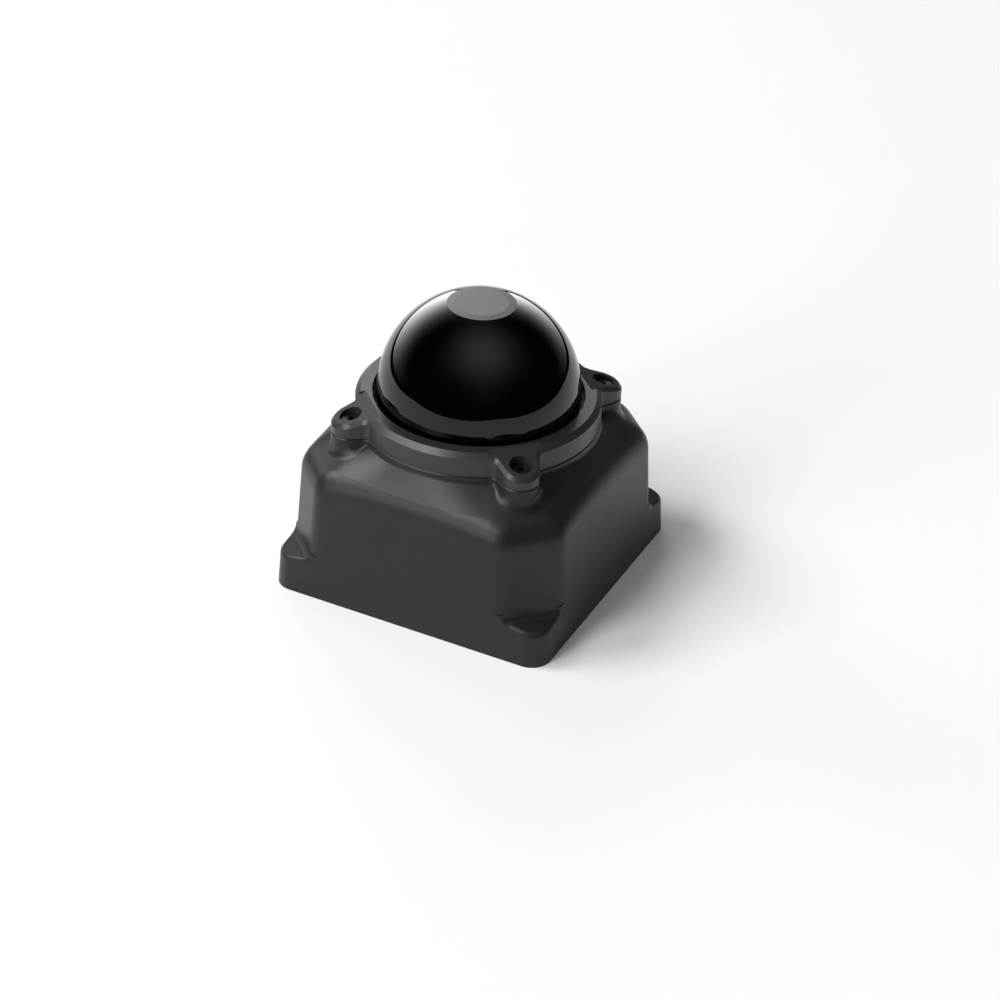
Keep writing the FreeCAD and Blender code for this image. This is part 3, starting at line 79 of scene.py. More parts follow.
class Signal:
    """One output socket that takes part in Python arithmetic."""

    def __init__(self, graph: "ShaderGraph", socket: bpy.types.NodeSocket) -> None:
        """Wraps a socket of a graph's node tree.

        Args:
            graph: Graph that new nodes are added to.
            socket: Output socket that carries the value.
        """
        self.graph = graph
        self.socket = socket

    def __add__(self, other: Value) -> "Signal":
        """Sum."""
        return self.graph.maths("ADD", self, other)

    def __radd__(self, other: float) -> "Signal":
        """Sum with a number first."""
        return self.graph.maths("ADD", other, self)

    def __sub__(self, other: Value) -> "Signal":
        """Difference."""
        return self.graph.maths("SUBTRACT", self, other)

    def __rsub__(self, other: float) -> "Signal":
        """Difference with a number first."""
        return self.graph.maths("SUBTRACT", other, self)

    def __mul__(self, other: Value) -> "Signal":
        """Product."""
        return self.graph.maths("MULTIPLY", self, other)

    def __rmul__(self, other: float) -> "Signal":
        """Product with a number first."""
        return self.graph.maths("MULTIPLY", other, self)

    def __truediv__(self, other: Value) -> "Signal":
        """Quotient."""
        return self.graph.maths("DIVIDE", self, other)

    def __pow__(self, other: Value) -> "Signal":
        """Power."""
        return self.graph.maths("POWER", self, other)

    def swing(self, width: float) -> "Signal":
        """Swing of a pattern about its middle, as wide as asked."""
        return (self - PATTERN_MIDDLE) * width

    def shared(self, other: "Signal", share: float) -> "Signal":
        """Sum of this and another signal, which has the given share."""
        return self * (1.0 - share) + other * share


class ShaderGraph:
    """Node tree that is written as calls and expressions."""

    def __init__(self, tree: bpy.types.NodeTree) -> None:
        """Empties a node tree and takes it over.

        Args:
            tree: Node tree of a material or of the world.
        """
        self.tree = tree
        tree.nodes.clear()

    def node(
        self,
        kind: str,
        settings: Optional[Mapping[str, object]] = None,
        sockets: Optional[Mapping[Union[str, int], object]] = None,
    ) -> bpy.types.Node:
        """Adds one node.

        Args:
            kind: Blender's name of the node type.
            settings: Properties of the node, set first.
            sockets: Values or signals for the input sockets, by name or number.

        Returns:
            The new node.
        """
        node = self.tree.nodes.new(kind)
        for name, value in (settings or {}).items():
            setattr(node, name, value)
        for name, value in (sockets or {}).items():
            if isinstance(value, Signal):
                self.tree.links.new(value.socket, node.inputs[name])
            else:
                node.inputs[name].default_value = value
        return node

    def out(self, node: bpy.types.Node, output: Union[str, int] = 0) -> Signal:
        """Output of a node as a signal."""
        return Signal(self, node.outputs[output])

    def maths(self, operation: str, *values: Value, clamp: bool = False) -> Signal:
        """Adds one Math node.

        Args:
            operation: The node's operation.
            values: Signals or numbers for its sockets, in order.
            clamp: True keeps the result between 0 and 1.

        Returns:
            The result.
        """
        settings = {"operation": operation, "use_clamp": clamp}
        return self.out(self.node("ShaderNodeMath", settings, dict(enumerate(values))))

    def place(self) -> Signal:
        """Object coordinates, in metres."""
        return self.out(self.node("ShaderNodeTexCoord"), "Object")

    def axes(self) -> tuple[Signal, Signal, Signal]:
        """Object coordinates as three values."""
        split = self.node("ShaderNodeSeparateXYZ", sockets={"Vector": self.place()})
        return self.out(split, "X"), self.out(split, "Y"), self.out(split, "Z")

    def noise(self, size: float, detail: float = 2.0, stretch: Colour = (1.0, 1.0, 1.0)) -> Signal:
        """Cloudy pattern over the piece.

        Args:
            size: Size of the largest clouds, in metres.
            detail: Levels of finer clouds.
            stretch: Factors along X, Y and Z; a small one draws the clouds out.

        Returns:
            Value around one half.
        """
        turned = self.node("ShaderNodeMapping", sockets={"Vector": self.place(), "Scale": stretch})
        return self.out(self.node(
            "ShaderNodeTexNoise",
            {"noise_dimensions": "3D"},
            {"Vector": self.out(turned), "Scale": 1.0 / size, "Detail": detail, "Roughness": CLOUD_FALL},
        ))

    def stripes(self, along: Signal, size: float) -> Signal:
        """Uneven stripes across one value.

        Args:
            along: Value in metres that the stripes follow.
            size: Width of the widest stripes, in metres.

        Returns:
            Value around one half.
        """
        return self.out(self.node(
            "ShaderNodeTexNoise",
            {"noise_dimensions": "1D"},
            {"W": along, "Scale": 1.0 / size, "Detail": STRIPE_DETAIL, "Roughness": STRIPE_FALL},
        ))

    def blend(self, share: Value, first: Union[Signal, Colour], second: Union[Signal, Colour]) -> Signal:
        """Colour between two colours.

        Args:
            share: Share of the second colour.
            first: Colour at share 0.
            second: Colour at share 1.

        Returns:
            The mixed colour.
        """
        ends = [end if isinstance(end, Signal) else opaque(end) for end in (first, second)]
        mix = self.node(
            "ShaderNodeMix",
            {"data_type": "RGBA", "clamp_factor": True},
            {0: share, 6: ends[0], 7: ends[1]},
        )
        return self.out(mix, 2)

    def step(self, value: Signal, low: float, high: float) -> Signal:
        """Smooth step from 0 at low to 1 at high."""
        return self.out(self.node(
            "ShaderNodeMapRange",
            {"interpolation_type": "SMOOTHSTEP"},
            {"Value": value, "From Min": low, "From Max": high},
        ))

    def bump(self, height: Signal, depth: float, strength: float = 1.0) -> Signal:
        """Normal of a surface with a fine relief.

        Args:
            height: Relief from 0 to 1.
            depth: Height of the relief, in metres.
            strength: Share of the relief that shows.

        Returns:
            The bent normal.
        """
        return self.out(self.node("ShaderNodeBump", None, {
            "Strength": strength, "Distance": depth, "Height": height,
        }))

    def surface(self, sockets: Mapping[str, object]) -> Signal:
        """Principled surface with the given socket values."""
        return self.out(self.node("ShaderNodeBsdfPrincipled", None, sockets))


class Lay(Enum):
    """How a tool left its marks on metal."""

    TURNED = "rings about the scan axis"
    BORED = "rings about the inlet's axis"
    MILLED = "straight passes of a cutter"
    TUMBLED = "even fine grain"


@dataclass(frozen=True)
class Finish:
    """Finish of a surface, which turns into one material."""

    name: str

    def paint(self, graph: ShaderGraph) -> Signal:
        """Builds the surface shader.

        Args:
            graph: Empty graph of the material.

        Returns:
            The shader's output.
        """
        raise NotImplementedError(self.name)

    def material(self) -> bpy.types.Material:
        """Makes the material, or finds it if it is there already.

        Returns:
            Material with this finish's node tree.
        """
        found = bpy.data.materials.get(self.name)
        if found is not None:
            return found
        made = bpy.data.materials.new(self.name)
        made.use_nodes = True
        graph = ShaderGraph(made.node_tree)
        graph.node("ShaderNodeOutputMaterial", None, {"Surface": self.paint(graph)})
        return made


@dataclass(frozen=True)
class PowderCoat(Finish):
    """Matte baked coat on a casting, with a fine pebbled skin."""

    deep: Colour
    pale: Colour
    roughness: float
    specular: float
    pebble: float = 0.34 * MM
    pebble_depth: float = 0.018 * MM
    pebble_dulling: float = 0.08
    speck_ratio: float = 2.6
    speck_share: float = 0.4
    cloud: float = 9.0 * MM
    cloud_dulling: float = 0.04
    mottle_edge: tuple[float, float] = (0.3, 0.7)
    relief: float = 0.6

    def paint(self, graph: ShaderGraph) -> Signal:
        """Clouded dark coat with a pebbled skin.

        Args:
            graph: Empty graph of the material.

        Returns:
            The shader's output.
        """
        cloud = graph.noise(self.cloud)
        pebble = graph.noise(self.pebble, detail=3.0)
        speck = graph.noise(self.pebble * self.speck_ratio, detail=1.0)
        mottle = graph.step(cloud.shared(speck, self.speck_share), *self.mottle_edge)
        dulling = cloud.swing(self.cloud_dulling) + pebble.swing(self.pebble_dulling)
        return graph.surface({
            "Base Color": graph.blend(mottle, self.deep, self.pale),
            "Roughness": self.roughness + dulling,
            "Specular IOR Level": self.specular,
            "Normal": graph.bump(pebble, self.pebble_depth, self.relief),
        })


@dataclass(frozen=True)
class PolishedWindow(Finish):
    """Polished dark plastic that lets infrared light through."""

    deep: Colour
    pale: Colour
    roughness: float = 0.025
    haze: float = 0.02
    cloud: float = 14.0 * MM
    streak: float = 1.6 * MM
    streak_stretch: Colour = (1.0, 1.0, 0.15)
    ior: float = 1.40

    def paint(self, graph: ShaderGraph) -> Signal:
        """Near-black gloss with the faintest uneven polish.

        Args:
            graph: Empty graph of the material.

        Returns:
            The shader's output.
        """
        cloud = graph.noise(self.cloud, detail=3.0)
        streaks = graph.noise(self.streak, detail=4.0, stretch=self.streak_stretch)
        return graph.surface({
            "Base Color": graph.blend(cloud, self.deep, self.pale),
            "Roughness": self.roughness + cloud * streaks * self.haze,
            "IOR": self.ior,
        })


@dataclass(frozen=True)
class MouldedPlastic(Finish):
    """Moulded or printed plastic with an etched skin."""

    deep: Colour
    pale: Colour
    roughness: float
    grain: float = 0.22 * MM
    grain_depth: float = 0.006 * MM
    grain_dulling: float = 0.12
    flow: float = 5.0 * MM
    flow_dulling: float = 0.06
    relief: float = 0.7

    def paint(self, graph: ShaderGraph) -> Signal:
        """Evenly etched plastic with soft flow clouds.

        Args:
            graph: Empty graph of the material.

        Returns:
            The shader's output.
        """
        flow = graph.noise(self.flow, detail=3.0)
        grain = graph.noise(self.grain, detail=2.0)
        return graph.surface({
            "Base Color": graph.blend(flow, self.deep, self.pale),
            "Roughness": self.roughness + grain.swing(self.grain_dulling) + flow.swing(self.flow_dulling),
            "Normal": graph.bump(grain, self.grain_depth, self.relief),
        })


@dataclass(frozen=True)
class MachinedMetal(Finish):
    """Bare, plated or blackened metal with the marks of its tool."""

    deep: Colour
    pale: Colour
    lay: Lay
    roughness: float
    mark: float = 0.25 * MM
    mark_depth: float = 0.003 * MM
    mark_dulling: float = 0.18
    slant: float = 0.12
    feed: float = 0.15
    stain: float = 6.0 * MM
    stain_share: float = 0.4
    stain_dulling: float = 0.10
    relief: float = 0.6
    axis_height: float = 0.0
    metallic: float = 1.0

    def marks(self, graph: ShaderGraph) -> Signal:
        """Tool marks across the piece.

        Args:
            graph: Graph of the material.

        Returns:
            Value around one half.
        """
        if self.lay is Lay.TUMBLED:
            return graph.noise(self.mark, detail=3.0)
        x, y, z = graph.axes()
        if self.lay is Lay.MILLED:
            return graph.stripes(x + self.slant * y, self.mark)
        if self.lay is Lay.BORED:
            lift = z - self.axis_height
            return graph.stripes((x * x + lift * lift) ** 0.5 + self.feed * y, self.mark)
        return graph.stripes((x * x + y * y) ** 0.5 + self.feed * z, self.mark)

    def paint(self, graph: ShaderGraph) -> Signal:
        """Metal whose colour, gloss and relief follow the tool marks.

        Args:
            graph: Empty graph of the material.

        Returns:
            The shader's output.
        """
        marks = self.marks(graph)
        stain = graph.noise(self.stain, detail=3.0)
        return graph.surface({
            "Base Color": graph.blend(marks.shared(stain, self.stain_share), self.deep, self.pale),
            "Metallic": self.metallic,
            "Roughness": self.roughness + marks.swing(self.mark_dulling) + stain.swing(self.stain_dulling),
            "Normal": graph.bump(marks, self.mark_depth, self.relief),
        })


@dataclass(frozen=True)
class SoftRubber(Finish):
    """Moulded seal or soft pad with a dusty bloom."""

    deep: Colour
    bloom: Colour
    roughness: float = 0.72
    specular: float = 0.35
    patch: float = 2.4 * MM
    patch_edge: tuple[float, float] = (0.35, 0.75)
    skin: float = 0.12 * MM
    skin_depth: float = 0.008 * MM
    skin_dulling: float = 0.15
    relief: float = 0.5

    def paint(self, graph: ShaderGraph) -> Signal:
        """Dull rubber with patches of bloom.

        Args:
            graph: Empty graph of the material.

        Returns:
            The shader's output.
        """
        patch = graph.step(graph.noise(self.patch, detail=4.0), *self.patch_edge)
        skin = graph.noise(self.skin, detail=2.0)
        return graph.surface({
            "Base Color": graph.blend(patch, self.deep, self.bloom),
            "Roughness": self.roughness + skin.swing(self.skin_dulling),
            "Specular IOR Level": self.specular,
            "Normal": graph.bump(skin, self.skin_depth, self.relief),
        })


@dataclass(frozen=True)
class BoardMask(Finish):
    """Solder mask over copper tracks on a circuit board."""

    mask: Colour
    track: Colour
    roughness: float = 0.34
    cell: float = 2.2 * MM
    cell_jitter: float = 0.75
    track_edge: tuple[float, float] = (0.054, 0.09)
    track_height: float = 0.03 * MM
    weave: float = 0.3 * MM
    weave_share: float = 0.2
    weave_dulling: float = 0.1
    weave_rise: float = 0.15
    relief: float = 0.8

    def paint(self, graph: ShaderGraph) -> Signal:
        """Glossy mask with tracks that show through and stand a little proud.

        Args:
            graph: Empty graph of the material.

        Returns:
            The shader's output.
        """
        cells = graph.out(graph.node(
            "ShaderNodeTexVoronoi",
            {"feature": "DISTANCE_TO_EDGE"},
            {"Vector": graph.place(), "Scale": 1.0 / self.cell, "Randomness": self.cell_jitter},
        ))
        tracks = 1.0 - graph.step(cells, *self.track_edge)
        weave = graph.noise(self.weave, detail=1.0)
        return graph.surface({
            "Base Color": graph.blend(tracks.shared(weave, self.weave_share), self.mask, self.track),
            "Roughness": self.roughness + weave.swing(self.weave_dulling),
            "Normal": graph.bump(tracks + weave * self.weave_rise, self.track_height, self.relief),
        })


@dataclass(frozen=True)
class WoundWire(Finish):
    """Enamelled wire laid in even turns."""

    # Copper painted darker as shade in the grooves and lighter as a highlight on the crests.
    groove_shaded_copper: Colour
    crest_lit_copper: Colour
    roughness: float = 0.3
    metallic: float = 0.9
    pitch: float = 0.3 * MM
    waves_per_unit: float = 3.18
    wobble: float = 0.3
    wire_depth: float = 0.05 * MM
    patina: float = 1.8 * MM
    patina_share: float = 0.3
    patina_dulling: float = 0.15

    def paint(self, graph: ShaderGraph) -> Signal:
        """Copper bands one wire wide, painted lighter on each crest as a highlight and darker between
        turns as shade.

        Args:
            graph: Empty graph of the material.

        Returns:
            The shader's output.
        """
        scale = 1.0 / (self.pitch * self.waves_per_unit)
        turns = graph.out(graph.node(
            "ShaderNodeTexWave",
            {"wave_type": "BANDS", "bands_direction": "Z", "wave_profile": "SIN"},
            {"Vector": graph.place(), "Scale": scale, "Distortion": self.wobble},
        ))
        patina = graph.noise(self.patina, detail=3.0)
        return graph.surface({
            # Painted highlight on the wire crests and painted shade in the grooves, following the relief's
            # wave.
            "Base Color": graph.blend(turns.shared(patina, self.patina_share), self.groove_shaded_copper, self.crest_lit_copper),
            "Metallic": self.metallic,
            "Roughness": self.roughness + patina.swing(self.patina_dulling),
            "Normal": graph.bump(turns, self.wire_depth),
        })


@dataclass(frozen=True)
class Sintered(Finish):
    """Pressed and fired powder with open grain."""

    deep: Colour
    pale: Colour
    roughness: float = 0.78
    metallic: float = 0.15
    grain: float = 0.25 * MM
    pit: float = 0.7 * MM
    pit_edge: tuple[float, float] = (0.28, 0.4)
    pit_dulling: float = 0.14
    pit_share: float = 0.6
    pit_depth: float = 0.02 * MM
    relief: float = 0.8

    def paint(self, graph: ShaderGraph) -> Signal:
        """Dull dark grain with small pits, painted darker inside as shade.

        Args:
            graph: Empty graph of the material.

        Returns:
            The shader's output.
        """
        grain = graph.noise(self.grain, detail=4.0)
        pits = graph.step(graph.noise(self.pit, detail=2.0), *self.pit_edge)
        return graph.surface({
            # Random tone from the grain, and painted shade in the sunken pits.
            "Base Color": graph.blend(grain * pits, self.deep, self.pale),
            "Roughness": self.roughness - pits * self.pit_dulling,
            "Metallic": self.metallic,
            "Normal": graph.bump(grain.shared(pits, self.pit_share), self.pit_depth, self.relief),
        })


@dataclass(frozen=True)
class CoatedGlass(Finish):
    """Clear lens glass with a coloured anti-glare coat."""

    tint: Colour
    coat: Colour
    roughness: float = 0.01
    film: float = 3.0 * MM
    film_share: float = 0.5
    film_dulling: float = 0.015
    transmission: float = 0.9
    ior: float = 1.52

    def paint(self, graph: ShaderGraph) -> Signal:
        """Clear glass with a faintly uneven coat.

        Args:
            graph: Empty graph of the material.

        Returns:
            The shader's output.
        """
        film = graph.noise(self.film, detail=2.0)
        return graph.surface({
            "Base Color": graph.blend(film * self.film_share, self.tint, self.coat),
            "Roughness": self.roughness + film * self.film_dulling,
            "Transmission Weight": self.transmission,
            "IOR": self.ior,
        })


CAST_COAT = PowderCoat("cast_coat", (0.0105, 0.0108, 0.0114), (0.0135, 0.0138, 0.0145),
                       roughness=0.38, specular=0.32)
RING_COAT = PowderCoat("ring_coat", (0.020, 0.0205, 0.0215), (0.025, 0.0255, 0.0265),
                       roughness=0.35, specular=0.45, pebble=0.26 * MM, pebble_depth=0.011 * MM)
DOME_GLOSS = PolishedWindow("dome_gloss", (0.0035, 0.0035, 0.004), (0.006, 0.006, 0.0065))
CAP_GREY = MouldedPlastic("cap_grey", (0.085, 0.085, 0.087), (0.100, 0.100, 0.102), roughness=0.42)
BLACK_OXIDE = MachinedMetal("black_oxide", (0.035, 0.035, 0.037), (0.075, 0.075, 0.078), Lay.TUMBLED,
                            roughness=0.42, mark=0.18 * MM)
GROUND_STEEL = MachinedMetal("ground_steel", (0.46, 0.46, 0.47), (0.62, 0.62, 0.63), Lay.TURNED,
                             roughness=0.26, mark=0.15 * MM)
FACED_ALUMINIUM = MachinedMetal("faced_aluminium", (0.55, 0.56, 0.57), (0.70, 0.71, 0.72), Lay.MILLED,
                                roughness=0.34, mark=0.5 * MM, mark_depth=0.004 * MM)
TURNED_ALUMINIUM = MachinedMetal("turned_aluminium", (0.56, 0.57, 0.58), (0.70, 0.71, 0.72), Lay.TURNED,
                                 roughness=0.3)
BLACK_ANODISED = MachinedMetal("black_anodised", (0.030, 0.030, 0.032), (0.05, 0.05, 0.053), Lay.TUMBLED,
                               roughness=0.5, metallic=0.6)
TURNED_BRASS = MachinedMetal("turned_brass", (0.62, 0.45, 0.19), (0.76, 0.57, 0.27), Lay.TURNED,
                             roughness=0.28)
GOLD_PLATE = MachinedMetal("gold_plate", (0.72, 0.50, 0.17), (0.84, 0.62, 0.25), Lay.TUMBLED,
                           roughness=0.2, mark=0.1 * MM)
SEAL_RUBBER = SoftRubber("seal_rubber", (0.014, 0.014, 0.014), (0.028, 0.028, 0.029))
HEAT_PAD = SoftRubber("heat_pad", (0.30, 0.37, 0.45), (0.38, 0.45, 0.53), roughness=0.8)
INSERT_BLACK = MouldedPlastic("insert_black", (0.022, 0.022, 0.024), (0.034, 0.034, 0.036),
                              roughness=0.46)
CHIP_BLACK = MouldedPlastic("chip_black", (0.022, 0.022, 0.023), (0.036, 0.036, 0.037), roughness=0.62,
                            grain=0.15 * MM)
BOARD_GREEN = BoardMask("board_green", (0.012, 0.085, 0.035), (0.04, 0.17, 0.075))
COPPER_WIRE = WoundWire("copper_wire", (0.48, 0.17, 0.07), (0.78, 0.36, 0.18))
FERRITE_GREY = Sintered("ferrite_grey", (0.045, 0.045, 0.05), (0.085, 0.085, 0.09))
LENS_GLASS = CoatedGlass("lens_glass", (0.90, 0.93, 0.97), (0.60, 0.66, 0.85))


class Element(Enum):
    """What an edit picks."""

    EDGE = "EDGE"
    FACE = "FACE"


class Merge(Enum):
    """How two workpieces become one."""

    JOIN = "UNION"
    CUT = "DIFFERENCE"
    CROSS = "INTERSECT"


class Workpiece:
    """Mesh object that is shaped with operators, as at a bench."""

    def __init__(self, obj: bpy.types.Object) -> None:
        """Takes over an object.

        Args:
            obj: Mesh object in metres.
        """
        self.obj = obj

    @staticmethod
    def clear_bench() -> None:
        """Leaves edit mode and deselects everything."""
        if bpy.context.object is not None and bpy.context.object.mode != "OBJECT":
            bpy.ops.object.mode_set(mode="OBJECT")
        bpy.ops.object.select_all(action="DESELECT")

    @classmethod
    def cylinder(cls, name: str, radius: float, low: float, high: float, sides: int) -> "Workpiece":
        """Upright cylinder on the Z axis to start from.

        Args:
            name: Name of the object.
            radius: Radius, in metres.
            low: Height of the lower end.
            high: Height of the upper end.
            sides: Sides of the outline.

        Returns:
            The new workpiece.
        """
        cls.clear_bench()
        bpy.ops.mesh.primitive_cylinder_add(
            vertices=sides, radius=radius, depth=high - low, location=(0.0, 0.0, (low + high) / 2)
        )
        bpy.ops.object.transform_apply(location=True, rotation=True, scale=True)
        made = cls(bpy.context.object)
        made.obj.name = name
        return made

    @classmethod
    def line(cls, name: str, points: Section, height: float) -> "Workpiece":
        """Half section in the XY plane at a height, drawn point by point.

        Args:
            name: Name of the object.
            points: Radius along X and place along Y of each point.
            height: Height of the section.

        Returns:
            The new workpiece, which has edges and no faces.
        """
        cls.clear_bench()
        spots = [Vector((radius, along, height)) for radius, along in points]
        bpy.ops.mesh.primitive_plane_add(size=MM, location=spots[0])
        bpy.ops.object.transform_apply(location=True, rotation=True, scale=True)
        made = cls(bpy.context.object)
        made.obj.name = name
        bpy.ops.object.mode_set(mode="EDIT")
        bpy.ops.mesh.select_mode(type="VERT")
        bpy.ops.mesh.select_all(action="SELECT")
        bpy.ops.mesh.merge(type="CENTER")
        for before, after in zip(spots, spots[1:]):
            bpy.ops.mesh.extrude_region_move(TRANSFORM_OT_translate={"value": after - before})
        bpy.ops.object.mode_set(mode="OBJECT")
        return made

    @classmethod
    def turned(cls, name: str, points: Section, height: float, steps: int) -> "Workpiece":
        """Body turned about an axis along Y from a half section that ends on the axis.

        Args:
            name: Name of the object.
            points: Radius and place along the axis, from axis to axis.
            height: Height of the axis.
            steps: Steps of the turn.

        Returns:
            The new workpiece.
        """
        made = cls.line(name, points, height)
        made.edit()
        bpy.ops.mesh.select_all(action="SELECT")
        bpy.ops.mesh.spin(steps=steps, angle=2 * math.pi, center=OBJECT_UP * height, axis=OBJECT_REAR)
        made.close()
        return made

    def hold(self) -> None:
        """Makes this the active object and the only one selected."""
        self.clear_bench()
        bpy.context.view_layer.objects.active = self.obj
        self.obj.select_set(True)

    def edit(self) -> None:
        """Makes this the active object, in edit mode."""
        self.hold()
        bpy.ops.object.mode_set(mode="EDIT")

    def close(self) -> None:
        """Merges doubles, turns the faces outwards and leaves edit mode."""
        bpy.ops.mesh.select_all(action="SELECT")
        bpy.ops.mesh.remove_doubles(threshold=WELD)
        bpy.ops.mesh.normals_make_consistent(inside=False)
        bpy.ops.object.mode_set(mode="OBJECT")

    def pick(self, element: Element, test: Picker) -> None:
        """Selects elements by their place and direction, and stays in edit mode.

        Args:
            element: Kind of element.
            test: Takes an element's centre and its normal or run, and says whether it is picked.
        """
        bpy.ops.mesh.select_mode(type=element.value)
        bpy.ops.mesh.select_all(action="DESELECT")
        bpy.ops.object.mode_set(mode="OBJECT")
        mesh = self.obj.data
        if element is Element.FACE:
            for face in mesh.polygons:
                face.select = test(face.center, face.normal)
        else:
            for edge in mesh.edges:
                start, end = (mesh.vertices[i].co for i in edge.vertices)
                edge.select = test((start + end) / 2, (end - start).normalized())
        bpy.ops.object.mode_set(mode="EDIT")

    @staticmethod
    def extrude(rise: float) -> None:
        """Draws the picked faces out along Z by a rise."""
        bpy.ops.mesh.extrude_region_move(TRANSFORM_OT_translate={"value": OBJECT_UP * rise})

    def slice(self, point: Vector, normal: Vector, closed: bool = True) -> None:
        """Cuts away what lies beyond a plane.

        Args:
            point: Point on the plane.
            normal: Direction of the side that goes.
            closed: True closes the cut with a face.
        """
        self.edit()
        bpy.ops.mesh.select_all(action="SELECT")
        bpy.ops.mesh.bisect(plane_co=point, plane_no=normal, use_fill=closed, clear_outer=True)
        bpy.ops.object.mode_set(mode="OBJECT")

    def modify(self, kind: str, settings: Mapping[str, object]) -> None:
        """Adds a modifier and applies it.

        Args:
            kind: Blender's name of the modifier type.
            settings: The modifier's properties.
        """
        self.hold()
        modifier = self.obj.modifiers.new(kind.lower(), kind)
        for name, value in settings.items():
            setattr(modifier, name, value)
        bpy.ops.object.modifier_apply(modifier=modifier.name)

    def combine(self, other: "Workpiece", merge: Merge) -> None:
        """Joins, cuts or crosses this with another workpiece, which is used up.

        Args:
            other: The other workpiece.
            merge: How the two become one.
        """
        self.modify("BOOLEAN", {"operation": merge.value, "solver": "EXACT", "object": other.obj})
        spent = other.obj.data
        bpy.data.objects.remove(other.obj)
        bpy.data.meshes.remove(spent)

    def move(self, place: Vector) -> None:
        """Moves the mesh, while the object stays at the origin.

        Args:
            place: Where the mesh's origin goes.
        """
        self.hold()
        self.obj.location = place
        bpy.ops.object.transform_apply(location=True, rotation=True, scale=True)

    def copy(self, name: str) -> "Workpiece":
        """Copy with its own mesh.

        Args:
            name: Name of the copy.

        Returns:
            The copy.
        """
        self.hold()
        bpy.ops.object.duplicate(linked=False)
        made = Workpiece(bpy.context.object)
        made.obj.name = name
        return made

    def smooth(self) -> None:
        """Shades faces smooth where they meet at a low angle."""
        self.hold()
        bpy.ops.object.shade_smooth_by_angle(angle=SMOOTH_ANGLE)

    def fit(self, body: str, node: str, slot: str, finish: Finish) -> None:
        """Makes this a piece that stands for a CAD node.

        Args:
            body: CAD body that it moves with.
            node: CAD node that it stands for.
            slot: Material slot of the record; not used.
            finish: Finish of its surface.
        """
        self.smooth()
        self.obj.data.materials.clear()
        self.obj.data.materials.append(finish.material())
        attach(self.obj, body)
        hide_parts(node)
        LOG.info("piece %s stands for %s", self.obj.name, node)


@dataclass
class SubAssembly:
    """Group of CAD nodes with their finishes."""

    def finishes(self) -> dict[str, Finish]:
        """Finish of each CAD node that shows as it is."""
        return {}

    def build(self) -> None:
        """Models the pieces that stand for CAD nodes."""

    def dress(self) -> None:
        """Gives each CAD node its finish."""
        for node, finish in self.finishes().items():
            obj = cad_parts[node]
            if not obj.material_slots:
                obj.data.materials.append(finish.material())
            for place in obj.material_slots:
                place.material = finish.material()
            LOG.info("node %s wears %s", node, finish.name)


@dataclass
class HousingShell(SubAssembly):
    """Cast housing and its bottom cover."""

    def finishes(self) -> dict[str, Finish]:
        """Finish of each CAD node that shows as it is."""
        return {
            "housing": CAST_COAT,
            "base_plate": FACED_ALUMINIUM,
            "base_gasket": SEAL_RUBBER,
            "base_screws": BLACK_OXIDE,
        }


@dataclass
class DomeCover(SubAssembly):
    """Dome window with its cap and seal."""

    def finishes(self) -> dict[str, Finish]:
        """Finish of each CAD node that shows as it is."""
        return {"dome_window": DOME_GLOSS, "dome_cap": CAP_GREY, "dome_seal": SEAL_RUBBER}


